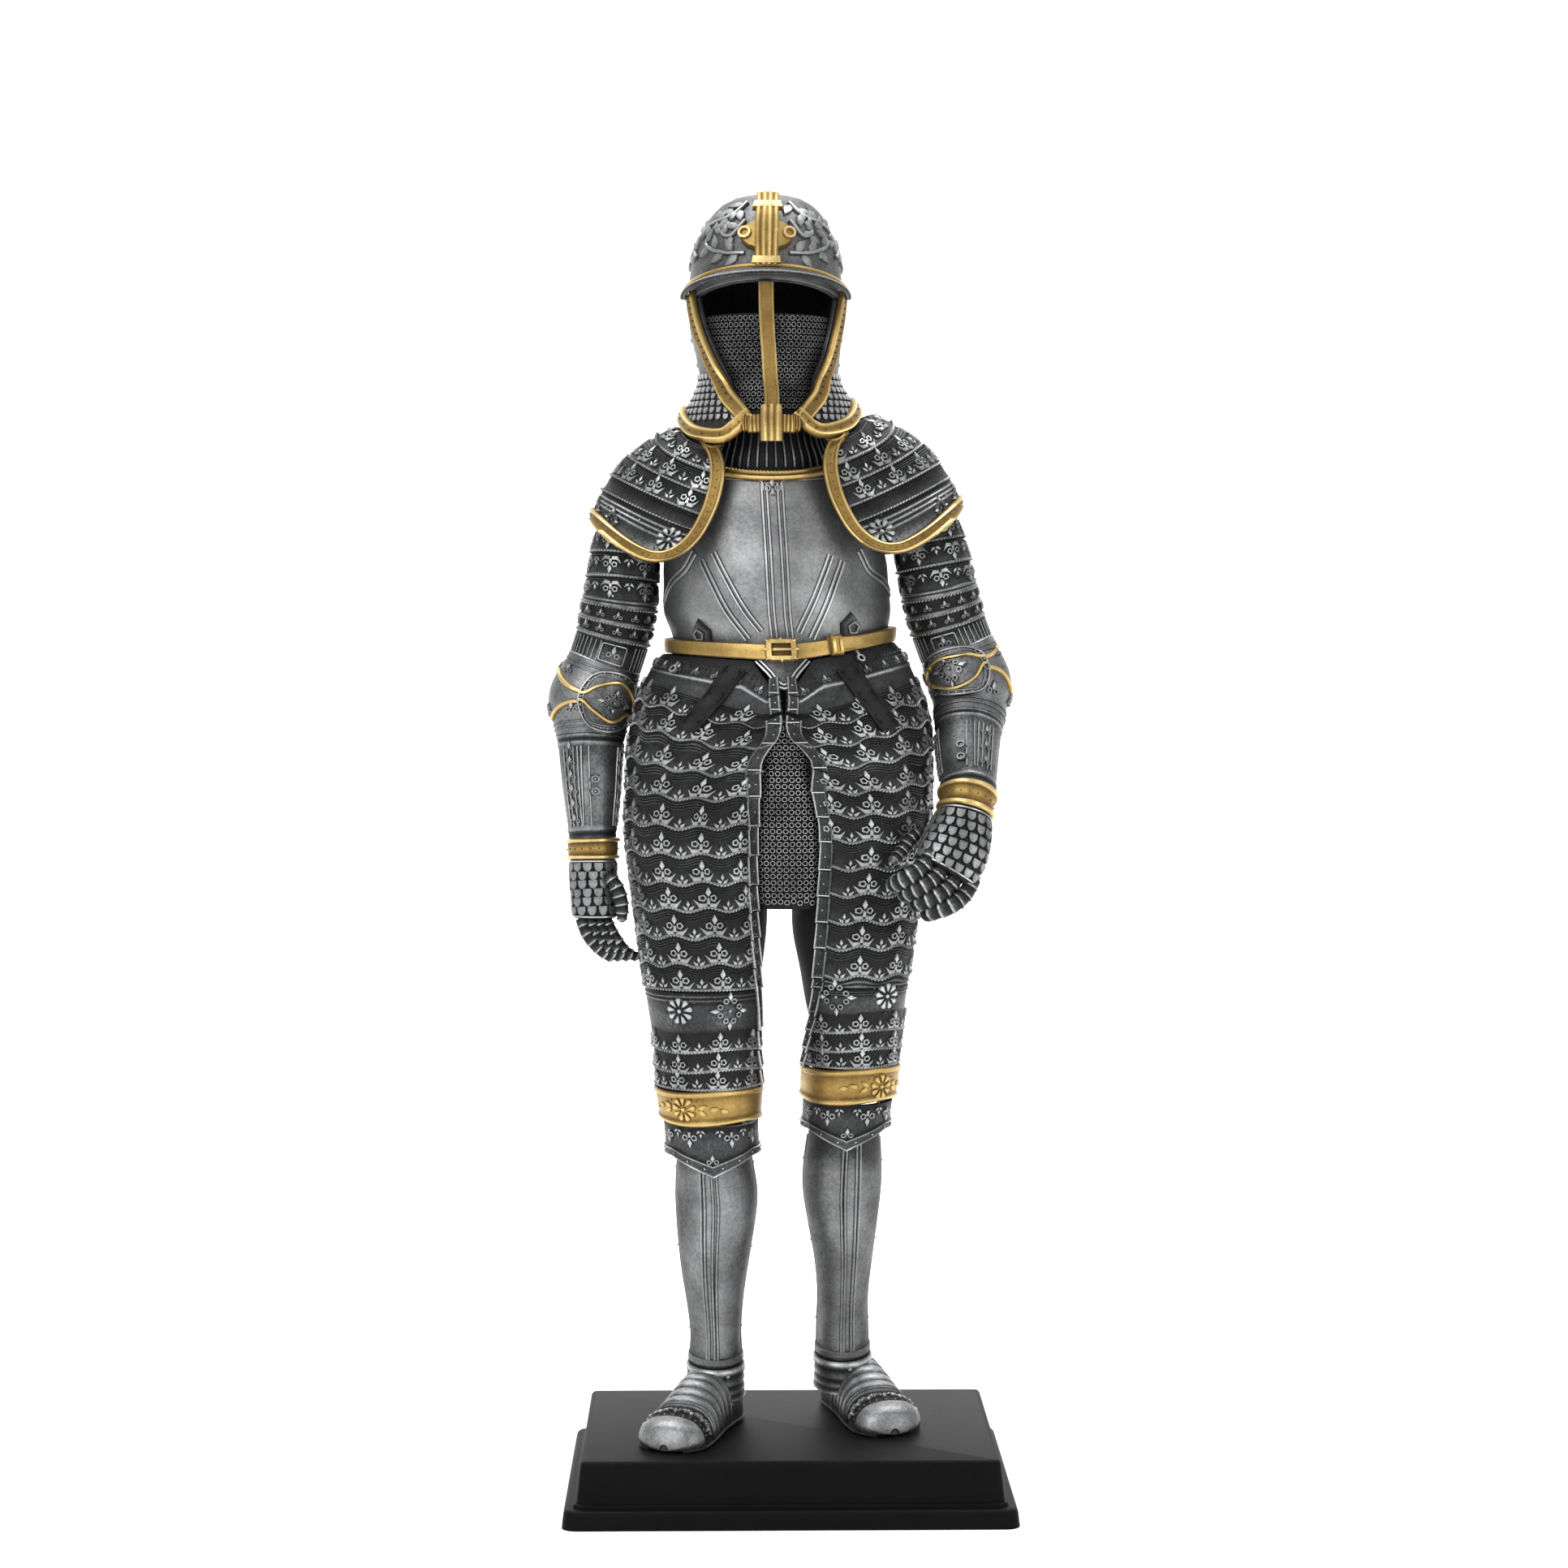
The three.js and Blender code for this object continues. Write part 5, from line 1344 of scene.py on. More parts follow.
face_edge = {
    side: reader([(z, row[k]) for z, *row in (
        (291, 66, 68), (288, 62, 66), (280, 54, 57), (272, 45, 48), (265, 30, 33), (259.5, 15, 18), (256, 12, 14),
        (252, 12, 14),
    )])
    for k, side in enumerate("rl")
}

work = Work(head, SATIN)
work.tube(
    [312.88, 311.2, 306, 297, brow], 72,
    np.array([0, 0.3, 0.6, 1, 1.3, 1.6, 2, 2.2, 2.4, 2.6, 2.8, 3, 3.2, 3.4, 3.6, 3.8, 4]), lambda t, z, row: (0, 0.42)
)


def scroll(work, points, leaves, first, size):
    """A curling stem with leaves to both sides."""
    turn, z = path(*points, steps=30)
    work.laid(turn, z, ridge(1.3, 0.7), rise=np.linspace(1.1, 0.6, len(turn)), relief=(0.1, 0.8))
    per_turn, per_z = pace(head, turn, z)
    heading = np.degrees(np.arctan2(np.gradient(z) * per_z, np.gradient(turn) * per_turn)) - 90
    for k in range(leaves):
        i = int((k + 0.6) / leaves * (len(turn) - 2))
        way = 1 if (k + first) % 2 else -1
        work.stamp(
            leaf, turn[i], z[i], size * (1 - 0.2 * k / leaves), heading[i] + way * 48, 0.05, relief=(0.16, 0.76)
        )
    work.stamp(leaf, turn[-1], z[-1], size * 0.85, heading[-1], 0.05, relief=(0.16, 0.76))


# Each scroll: the stem's turns and heights, its leaves, the side of the first leaf, and the leaves' size.
SCROLLS = [
    ([(17, 296.6), (36, 297), (56, 299.5), (50, 304.5)], 8, 1, 1.6),
    ([(24, 309), (36, 306), (66, 303.5), (88, 296.5)], 9, 0, 1.6),
    ([(20, 304.5), (30, 301), (40, 301.8), (36, 304.4)], 5, 0, 1.3),
    ([(66, 296.6), (80, 298.6), (104, 298), (124, 291.5)], 8, 1, 1.6),
    ([(100, 306), (120, 303), (146, 301), (160, 293)], 8, 0, 1.65),
    ([(136, 290), (150, 292.5), (168, 296)], 6, 1, 1.5),
]
for way in (-1, 1):
    for points, leaves, first, size in SCROLLS:
        scroll(work, [(way * turn, z) for turn, z in points], leaves, first, size)
turns = np.linspace(-180, 180, 121)
work.laid(turns, brow(turns) + 1, even((0.5, 0.4), (0.8, 0)), relief=(0.1, 0.85))
work.done("helmet_bowl", weld=0.02)


def peak(turn, z):
    """The peak's own surface: its height runs from 0 at the bowl to -1 at the tip."""
    turn, t = np.broadcast_arrays(np.asarray(turn, float), -np.asarray(z, float))
    reach = 4.6 * np.maximum(np.cos(np.radians(1.14 * turn)), 0) ** 0.8
    return lifted(head, turn, brow(turn) + 3.4 - 2.4 * t, 1.25 + (0.4 + reach) * t)


work = Work(peak)
work.plate(
    -76, 76, [0, -1], 60, np.array([0, 0.2, 0.45, 0.7, 0.86, 0.9, 0.95, 1]),
    lambda t, z, r: (np.where(r > 0.88, 0.2, 0), np.where(r > 0.88, 0.5, 0.32)), wall=0.95, finish=SATIN
)
turns = np.linspace(-75, 75, 70)
work.laid(turns, -0.05, even((0.3, 0.6), (0.5, 0.1)), relief=(0.35, 0.85), sink=0.3, finish=GILT)
work.laid(turns, -0.94, even((0.2, 0.35), (0.4, 0.1)), relief=(0.2, 0.7), sink=0.3)
roped(work, lambda t: -0.8 + 0 * t, -72, 72, 0.9, 0.8, 0, DARK)
work.done("helmet_peak")

work = Work(head, GILT)
z = np.linspace(309.8, 293.4, 26)
bar = even((0, 2.2, 0.3), (0.7, 2.6, 0.95), (1.3, 2.1, 0.3), (1.9, 2.5, 0.9), (2.4, 2, 0.5), (2.5, 0, 0.1))
work.laid(-0.3, z, bar, rise=1 + 0.25 * np.sin(np.linspace(0, math.pi, 26)))
around = np.radians(np.arange(0, 360, 22.5))
lug = boss([(6.3 * math.cos(a), 4.3 * math.sin(a)) for a in around], 1.7, 0.35, 0.86)
work.stamp(lug, -0.3, 300.6, 1, 0, 0.2, relief=(0.1, 0.72))
for dx in (-4.6, 4.6):
    work.stamp(curl(1.15, 0.42, 1.1, 9), turn_of_x(head, -5.3 + dx, 300.6), 300.6, 1, 0, 1.7, relief=(0.1, 1))
cap = boss([(-3.2, -0.8), (3.2, -0.8), (3, 0.9), (-3, 0.9)], 1.3, 0.1, 0.9)
work.stamp(cap, -0.3, np.array([306.6, 294.4]), 1, 0, 1.6, relief=(0.1, 0.95))
work.done("brow_bracket")

work = Work(head, GILT)
z = np.linspace(289.6, 259.2, 50)
width = np.interp(z, [259, 270, 285, 290], [1.7, 1.65, 1.55, 1.5])
work.laid(
    np.interp(z, [259, 290], [0.3, -0.4]), z, even((0.9, 1.75, 0.42), (1.6, 1.2, 0.9), (1.75, 0.3, 0.2)), sink=-0.1
)
work.done("nasal_bar")

work = Work(head, GILT)
for x, high, low, wide, tall in (
    (0, 260.2, 252.4, 2.5, 3.4), (-3.7, 257.9, 254.1, 1.6, 2.4), (3.7, 257.9, 254.1, 1.6, 2.4),
    (-5.4, 257.6, 254.4, 1, 2.9), (5.4, 257.6, 254.4, 1, 2.9)
):
    z = np.linspace(high, low, 12)
    turn = np.array([turn_of_x(head, -4.3 + x, float(h)) for h in z])
    across = even(
        (0, tall * 1.02, 0.95), (wide * 0.28, tall * 0.86, 0.25), (wide * 0.55, tall, 0.95),
        (wide * 0.9, tall * 0.8, 0.5), (wide, 1, 0.05)
    )
    work.laid(turn, z, across, sink=-0.7, rise=0.72 + 0.28 * np.sin(np.linspace(0.2, math.pi - 0.2, 12)))
work.done("chin_clasp")

for side in "rl":
    sign, edge_at = SIGN[side], face_edge[side]
    edge = lambda z, more=0: sign * (edge_at(z)[1] + more)
    work = Work(head, SATIN)
    work.plate(
        *reach(sign, edge, 95), [lambda t: brow(t) - 0.3, helmet_low], 44, 44,
        lambda t, z, r: (0, np.where(z < 267, 0.2, 0.42))
    )
    # Scales above the flare, and two raised lines beside the face.
    for k, z in enumerate(np.arange(268.5, 257, -1.7)):
        start, stop = sorted((float(edge(z, 9)), sign * 93))
        turn, height, _ = stations(head, float(z), start + (3.2 if k % 2 else 0), stop, 2.1)
        work.stamp(scale_form, turn, height, 0.9, 0, 0.1, relief=(0.05, 0.9), finish=DARK)
    for gap in (11, 15):
        z = np.linspace(286, 270, 24)
        work.laid(edge(z, gap), z, ridge(0.6, 0.35), relief=(0.1, 0.9))
    work.done(f"cheek_{side}")

    work = Work(head, GILT)
    z = np.concatenate([np.linspace(288.6, 262, 50), np.linspace(261.4, 257.6, 10)])
    strip = [
        (-0.3, 0.7, 0.05), (0, 1.55, 0.7), (0.6, 1.9, 1), (1.2, 1.45, 0.35), (2.9, 1.5, 0.4), (3.4, 1.7, 0.85),
        (3.8, 0.7, 0.05)
    ]
    work.laid(edge(z), z, sorted((-sign * x, h, tone) for x, h, tone in strip), sink=-0.6)
    # Punched dots along the strip.
    marks = np.linspace(286, 262, 17)
    per_turn, _ = pace(head, edge(marks), marks)
    work.stamp(dot, edge(marks) + sign * 2.1 / per_turn, marks, 0.95, 0, 1.5, relief=(0, 0.2))
    # Lower flare: a rolled gilt band that swings up to meet the strip.
    front = float(edge_at(np.array(256.5))[1]) - 0.5
    lifts = [(front + 1.8, 2.1), (front + 4.5, 1.6), (front + 11, 1.1), (front + 20, 1.3)] + [
        (turn, 1.4) for turn in (52, 66, 80, 94)
    ]
    swing = [(turn, float(helmet_low(sign * turn)) + lift) for turn, lift in lifts]
    turn, z = path(*swing, steps=64)
    roll = [
        (-1.75, 0.3, 0.1), (-1.6, 1.3, 0.6), (-1.1, 1.95, 0.95), (-0.5, 1.6, 0.45), (0.6, 1.7, 0.5), (1.15, 2.1, 1),
        (1.6, 1.4, 0.6), (1.75, 0.3, 0.1)
    ]
    work.laid(sign * turn, z, roll, sink=-0.2)
    picks = np.arange(3, 62, 6)
    work.stamp(dot, sign * turn[picks], z[picks], 0.9, 0, 1.6, relief=(0, 0.25))
    work.done(f"cheek_rim_{side}")

work = Work(head, SATIN)
work.plate(96.2, 263.8, [lambda t: brow(t) - 0.3, helmet_low], 60, 44, lambda t, z, r: (0, 0.45))
for k, z in enumerate((278, 272, 266.5, 261.5)):
    turns = np.linspace(98, 262, 60)
    work.laid(
        turns, z + 0.8 * np.cos(np.radians(turns * 6)), [(-0.8, 0), (-0.5, 0.5), (0.2, 0.45), (0.8, 0)],
        relief=(0.05, 0.85)
    )
    work.stamp(rivet, np.array([101, 259]), z - 2.6, 1, 0, 0.1)
turns = np.linspace(97, 263, 60)
work.laid(
    turns, helmet_low(turns) + 1.4,
    [(-1.5, 0.2, 0.1), (-1.2, 1.1, 0.9), (-0.5, 0.8, 0.4), (0.6, 0.8, 0.4), (1.2, 1.2, 0.95), (1.5, 0.2, 0.1)],
    finish=GILT
)
work.done("neck_guard")


# ---- Shoulders -----------------------------------------------------------------------------------
# Rows that arch from the breast over the shoulder to the back: height, inner and outer x, height on
# top, depth of the front and of the back.
SHOULDER = [
    (252.9, -19.2, -22.4, 254.2, 11.2, 10.4), (252, -19.6, -27.6, 256.2, 14.2, 13.2),
    (249.2, -16, -34.4, 252.4, 17.8, 16.2), (245, -14.6, -39.6, 248.4, 20.4, 18.4),
    (239.5, -15.2, -43.2, 243.8, 21.8, 19.6), (233.5, -17.2, -45.4, 240, 22.8, 20.4),
    (228, -19.8, -46.3, 237.3, 23.2, 20.8), (224, -23.2, -46.5, 235.8, 22.9, 20.6),
    (221.6, -28, -46.6, 234.8, 22.4, 20.4),
]


def shoulder(sign):
    at = reader(SHOULDER)

    def surface(turn, z):
        turn, z = np.broadcast_arrays(np.asarray(turn, float), np.asarray(z, float))
        _, inner_x, outer_x, high, front, back = at(z)
        n, c = turned(turn * sign)
        c = np.maximum(c, 0)
        x = mix(inner_x, outer_x, c)
        y = DEEP + np.where(n < 0, front, back) * n
        height = mix(z, high, c * c)
        if sign > 0:
            x, height = -7.5 - x - 0.06 * (x + 14.4), height + 1.5 * (1 + c)
        return np.stack([x, y, height], -1)

    return surface


SHOULDER_ROWS = [(252.9, 0), (243.8, 6.6), (238.5, 7.4), (233.7, 7), (230.2, 5.6), (221.8, 0)]
SHOULDER_PLAIN = [
    (0, 0, 0.05), (0.08, 0, 0.1), (0.14, 0.32, 0.75), (0.2, 0, 0.12), (0.26, 0.32, 0.75), (0.32, 0, 0.14),
    (0.38, 0.3, 0.7), (0.44, 0, 0.34), (0.7, 0, 0.6), (1, 0, 0.5)
]
for side in "rl":
    sign, surface = SIGN[side], shoulder(SIGN[side])
    front = -sign
    lines = [lambda t, b=b, k=k: b + k * np.cos(np.radians(t)) for b, k in SHOULDER_ROWS]
    work = Work(surface)
    rows, form = banded([LAME] * 4 + [SHOULDER_PLAIN])
    half = lambda z: np.interp(z, [221.8, 223.9, 226, 230, 236, 250.4], [66, 71.5, 79.5, 84, 86, 86.2])
    work.plate(lambda z: -half(z), half, lines, 84, rows, form)
    for k, through in ((1, 60), (2, 56.2), (3, 52.8), (4, 46)):
        base = lines[k]
        if k < 4:
            fleur_row(
                work, lambda t: base(t) + 0.95, -84 if k < 3 else -80, 84 if k < 3 else 80, front * through, step=9.4,
                size=0.92
            )
        roped(work, lambda t: base(t) + 0.3, -82, 82, 0.9)
    for turn in (front * 71, front * -66):
        work.stamp(daisy, turn, 228.4, 0.98, 0, 0.15, relief=(0.25, 0.85))
    for turn in (34, 12, -12, -34):
        work.stamp(cross, front * turn, 227.6, 0.7, 0, 0.1)
    turns = np.concatenate([np.arange(-52, 53, 13)])
    work.stamp(rivet, turns, 231, 0.9, 0, 0.1)
    work.done(f"pauldron_{side}")

    # The gilt rim runs down the breast, along the lower edge and up the back.
    work = Work(surface, GILT)
    way_round = [
        (84.6, 250.4), (84.6, 243), (84.4, 236), (82.5, 230), (78, 226), (70, 223.9), (56, 223.4), (34, 223.4),
        (12, 223.4)
    ]
    turn, z = path(
        *[(front * t, h) for t, h in way_round], *[(-front * t, h) for t, h in reversed(way_round)], steps=190
    )
    strip = even((0.8, 1.1, 0.42), (1.2, 1.5, 1), (1.6, 1.2, 0.7), (1.8, 0.3, 0.1))
    work.laid(turn, z, strip, sink=-0.2, out=0.2)
    picks = np.arange(2, len(turn) - 1, 3)
    work.stamp(dot, turn[picks], z[picks], 0.85, 0, 1.25, relief=(0.05, 0.3))
    # Small rolled leaves where the rim leaves the breast.
    for way in (front, -front):
        at_turn, at_z = way * 85.4, 250.6
        work.stamp(curl(1.35, 0.5, 1.2, 10), at_turn, at_z, 1, 0, 0.9, relief=(0.15, 1))
        for lean in (-50, 0, 50):
            work.stamp(leaf, at_turn, at_z + 0.6, 0.75, lean, 0.9, relief=(0.15, 1))
    work.done(f"pauldron_rim_{side}")


# ---- Arms ----------------------------------------------------------------------------------------
CANNON = [
    (0, 0, 0.1), (0.03, 0.35, 0.6), (0.07, 0.35, 0.6), (0.1, 0, 0.12), (0.26, 0, 0.16), (0.29, 0.35, 0.6),
    (0.33, 0.35, 0.6), (0.36, 0, 0.12), (0.5, 0, 0.16), (0.53, 0.35, 0.6), (0.57, 0.35, 0.6), (0.6, 0, 0.12),
    (0.8, 0, 0.46), (0.93, 0, 0.48), (0.96, 0.4, 0.75), (1, 0.2, 0.5)
]
for side in "rl":
    sign, surface = SIGN[side], arm[side]
    at = 0 if side == "r" else 3
    work = Work(surface)
    lames = [235, 231.6 + at, 226.3 + at, 220.7 + at, 214.6 + at]
    if side == "l":
        lames[0] = 236.2
    rows, form = banded([LAME] * 4)
    left, right = sorted((sign * -118, sign * 206))
    arch = [
        lambda t, z=z: z + 0.9 * np.cos(
            np.radians(t * 1 + 20 * sign)
        ) - 0.9 if 215 + at < z < 235 else np.full(np.shape(t), z) for z in lames
    ]
    work.plate(left, right, arch, 76, rows, form)
    for k, through in (
        (1, -32 if side == "r" else 36.5), (2, -21.2 if side == "r" else 34), (3, -15.5 if side == "r" else 4.5)
    ):
        fleur_row(work, lambda t: arch[k](t) - 0.9, left + 6, right - 6, through, step=8.6, size=0.86, upside=True)
        roped(work, lambda t: arch[k](t) + 0.3, left + 3, right - 3, 0.85)
    work.stamp(rivet, sign * np.array([-50, 10, 75, 140])[:, None], np.array([[216.2 + at]]), 1, 0, 0.1)
    for z in lames[1:4]:
        spot = -sign * 62
        work.stamp(slab(1.4, 1.6, 0.7, 0.1, 0.8), spot, z - 2.6, 0.9, 0, 0.2, relief=(0.2, 0.5), finish=LEATHER)
    work.done(f"rerebrace_{side}")

    work = Work(surface)
    work.tube([214.7 + at, 199.2 + at], 60, *banded([CANNON]))
    for k in (0.05, 0.31, 0.55):
        roped(work, 214.2 + at - 14.8 * k, -179, 180, 0.85, out=0.3)
    turns = np.arange(-176, 180, 8.5)
    for turn in turns:
        z = np.array([205.2, 204.9, 200.4, 200.1]) + at
        if abs(turn + sign * 18) > 24:
            work.laid(turn, z, ridge(0.42, 0.3), relief=(0.02, 0.8))
    panel_turn = -16 * sign if side == "l" else 8
    frame_points = hoop(3, 2.2, corner=0.5)
    framed(work, panel_turn, 202.7 + at, frame_points, ridge(0.5, 0.35), 0.05, relief=(0.1, 0.95))
    work.stamp(small_fleur, panel_turn, 201.4 + at, 1.15, 0, 0.05)
    for z in (211.9, 208.3):
        turn, height, _ = stations(surface, z + at, -178, 178, 4.2)
        work.stamp(small_fleur, turn, height - 1.2, 0.75, 0, 0.05)
    work.done(f"upper_cannon_{side}")

    work = Work(surface)
    work.tube([199.7 + at, 195 + at, 187 + at, 181.9 + at], 60, 18, lambda t, z, r: (0, 0.58), out=0.4)
    turn, z, slope = stations(surface, 191 + at, -176, 178, 4.4)
    work.stamp(small_fleur, turn, z + np.where(np.arange(len(z)) % 2, 3.2, -4.6), 1, slope, 0.45)
    for z in (198.3, 197, 184.6, 183.3):
        turns = np.linspace(-180, 180, 61)
        work.laid(turns, z + at, ridge(0.55, 0.35), out=0.35, relief=(0.1, 0.62))
    swing = np.linspace(-75, -8, 24) if side == "r" else np.linspace(20, 75, 24)
    share = np.linspace(0, 1, 24) if side == "r" else np.linspace(1, 0, 24)
    for way in (-1, 1):
        height = (190.3 if side == "r" else 196.3) + way * (4.2 - 3 * np.sin(share * math.pi / 2))
        work.laid(swing, height, ridge(1.4, 0.6), out=0.4, relief=(0.25, 0.9), finish=GILT)
    work.done(f"couter_{side}")

    # The elbow's wing: a rounded plate with a riveted border, gilt lines that pinch and open, and four fleurs.
    middle_turn, middle_z, half_turn, half_high = (24, 190.4, 39, 8.8) if side == "r" else (-21, 196.4, 44, 8.8)

    def wing(u, v):
        """A rounded patch: u and v run from -10 to 10 over its width and its height."""
        u, v = np.broadcast_arrays(np.asarray(u, float) / 10, np.asarray(v, float) / 10)
        turn = middle_turn + half_turn * u * np.sqrt(np.maximum(1 - np.clip(v, -1, 1) ** 2 * 0.45, 0))
        z = middle_z + half_high * v * np.sqrt(np.maximum(1 - np.clip(u, -1, 1) ** 2 * 0.45, 0))
        dome = 0.9 * np.maximum(1 - u**2, 0) * np.maximum(1 - v**2, 0)
        return lifted(surface, turn, z, 1.9 + dome)

    work = Work(wing)
    work.plate(
        -10, 10, [10, -10], 36, 30, lambda u, v, r: (0, np.where(np.maximum(np.abs(u), np.abs(v)) > 8.6, 0.6, 0.5)),
        wall=0.8
    )
    loop = [(-9.3, -8), (-9.3, 8), (-8, 9.3), (8, 9.3), (9.3, 8), (9.3, -8), (8, -9.3), (-8, -9.3), (-9.3, -8)]
    for k, ((u0, v0), (u1, v1)) in enumerate(zip(loop, loop[1:])):
        n = 16 if k % 2 == 0 else 4
        work.laid(np.linspace(u0, u1, n), np.linspace(v0, v1, n), ridge(0.9, 0.55), relief=(0.1, 0.8))
        work.laid(np.linspace(u0, u1, n) * 0.86, np.linspace(v0, v1, n) * 0.84, ridge(0.45, 0.3), relief=(0.1, 0.7))
        if k % 2 == 0:
            m = np.linspace(0.12, 0.88, 5)
            work.stamp(rivet, mix(u0, u1, m) * 0.93, mix(v0, v1, m) * 0.92, 0.8, 0, 0.1)
    inner_side = 1 if side == "r" else -1
    u = np.linspace(-9.2, 9.2, 50) * inner_side
    pinch = reader(
        [(-9.2, 1.1), (-7.6, 1.5), (-5.2, 4.2), (-1, 6.5), (3, 6.8), (6.5, 5.4), (8.6, 2.6), (9.2, 0.4)]
    )(np.linspace(-9.2, 9.2, 50))[1]
    for way in (-1, 1):
        work.laid(u, way * pinch, ridge(1.2, 0.6), relief=(0.25, 0.9), finish=GILT)
    work.stamp(cross, inner_side * 0.8, 0, 1.12, 0, 0.15, relief=(0.1, 0.95), squash=1.25)
    work.done(f"couter_wing_{side}")

    work = Work(surface)
    top, low = 182.2 + at, 157.68 if side == "r" else 169.28
    rings = [
        (0, 0, 0.1), (0.03, 0.3, 0.7), (0.07, 0, 0.12), (0.1, 0.3, 0.7), (0.14, 0, 0.42), (0.5, 0, 0.6),
        (0.88, 0, 0.5), (0.92, 0.3, 0.7), (0.96, 0, 0.12), (1, 0.2, 0.5)
    ]
    work.tube([top, low], 60, *banded([rings]))
    # Upright strips of small fleurs between double lines.
    strip_turn = -36.5 if side == "r" else 30
    for centre in (strip_turn, strip_turn + 110, strip_turn - 110, strip_turn + 180):
        for edge in (-11, 11):
            for gap in (-0.55, 0.55):
                z = np.linspace(top - 3.4, low + 2.6, 14)
                work.laid(centre + edge, z, ridge(0.5, 0.35, gap), relief=(0.08, 0.9))
        z = np.arange(low + 3, top - 5, 3.3)
        work.stamp(small_fleur, centre, z, 1, 0, 0.05)
    for gap in (-0.9, 0.9):
        z = np.linspace(top - 3.4, low + 2.6, 14)
        work.laid(strip_turn + 29 * (1 if side == "r" else -1), z, ridge(0.5, 0.35, gap), relief=(0.08, 0.9))
    hinge_turn, hinge_z = (9.8, 169.5) if side == "r" else (-16, 175.1)
    plate_form = boss(
        [
            (-1.2, -2.6), (1.2, -2.6), (1.5, -1.2), (0.8, 0), (1.5, 1.2), (1.2, 2.6), (-1.2, 2.6), (-1.5, 1.2),
            (-0.8, 0), (-1.5, -1.2)
        ],
        0.6, 0.05, 0.85
    )
    work.stamp(plate_form, hinge_turn, hinge_z, 1, 0, 0.1, relief=(0.05, 0.5))
    for dz in (-1.4, 1.4):
        work.stamp(curl(0.75, 0.3, 0.95, 8), hinge_turn, hinge_z + dz, 1, 0, 0.3, relief=(0.1, 0.72))
        work.stamp(rivet, hinge_turn, hinge_z + dz, 0.9, 0, 0.6)
    work.done(f"vambrace_{side}")

    # Wrist: a gilt cuff with a raised edge above and below and punched dots between.
    work = Work(surface, GILT)
    high, low = (157.6, 152.48) if side == "r" else (169.2, 164.28)
    work.tube(
        [high, low], 60,
        *banded(
            [
                [
                    (0, 0.2, 0.6), (0.06, 0.7, 0.95), (0.16, 0.7, 0.95), (0.22, 0.2, 0.2), (0.5, 0.25, 0.62),
                    (0.78, 0.2, 0.2), (0.84, 0.7, 0.95), (0.94, 0.7, 0.95), (1, 0.2, 0.6)
                ]
            ]
        ),
        out=0.4
    )
    turn, z, _ = stations(surface, (high + low) / 2, -178, 178, 1.9)
    work.stamp(dot, turn, z, 1, 0, 0.6, relief=(0.1, 0.35))
    work.done(f"cuff_{side}")

    # The back of the hand: rows of scalloped scales that overlap downward.
    work = Work(surface)
    high, low = (152.4, 138.6) if side == "r" else (164.2, 151)
    work.tube([high, low], 48, 22, lambda t, z, r: (0, 0.16))
    for k, z in enumerate(np.arange(high - 1.6, low + 1, -2.05)):
        turn, height, slope = stations(surface, float(z), -178 + 7 * (k % 2), 176, 2.5)
        work.stamp(scale_form, turn, height, 1.32, slope, 0.15, relief=(0.04, 0.68))
    for z in (high - 0.4, low + 0.5):
        work.laid(np.linspace(-180, 180, 49), z, ridge(0.8, 0.5), relief=(0.1, 0.9))
    work.done(f"gauntlet_{side}")


def rod(rows):
    """A round bar through a few points: x, y, z, radius, from its root (0) to its tip (-1, -2, ...)."""
    at = reader([(-k, *row) for k, row in enumerate(rows)])

    def surface(turn, place):
        turn, place = np.broadcast_arrays(np.asarray(turn, float), np.asarray(place, float))
        _, x, y, z, r = at(place)
        up, down = at(place + 0.05), at(place - 0.05)
        axis = unit(np.stack([up[i] - down[i] for i in (1, 2, 3)], -1))
        side = unit(np.array([1, 0, 0]) - axis * axis[..., :1])
        ahead = np.cross(side, axis)
        s, c = turned(turn)
        return np.stack([x, y, z], -1) + side * (r * s)[..., None] + ahead * (r * c)[..., None]

    return surface


FINGER_LAME = [(0, 0, 0.05), (0.3, 0.02, 0.2), (0.72, 0.1, 0.46), (0.8, 0.28, 0.8), (0.94, 0.28, 0.72), (1, 0, 0.05)]


def finger(work, points, radii):
    """A jointed finger of overlapping rings with a rounded tip."""
    end, before = np.array(points[-1], float), np.array(points[-2], float)
    tip = end + unit(end - before) * radii[-1] * 0.8
    rows = [(*p, r) for p, r in zip(points, radii)] + [(*tip, 0.01)]
    surface = rod(rows)
    n = len(points) - 1
    levels = list(np.linspace(0, -n, 2 * n + 1)) + [-n - 1]
    steps, form = banded([FINGER_LAME] * (2 * n))
    steps = np.concatenate([steps, [2 * n + 0.25, 2 * n + 0.5, 2 * n + 0.75, 2 * n + 0.93, 2 * n + 1]])
    shaped = lambda t, z, r: tuple(
        np.where(r > 2 * n - 1e-6, plain, v) for v, plain in zip(form(t, z, np.minimum(r, 2 * n - 1e-4)), (0, 0.55))
    )
    work.tube(levels, 12, steps, shaped, wall=0.4, on=surface)
    work.stamp(button(6, 0.32, 0.25), 0, np.array([-0.9, -1.9]), 1, 0, 0.2, relief=(0.3, 1), on=surface)


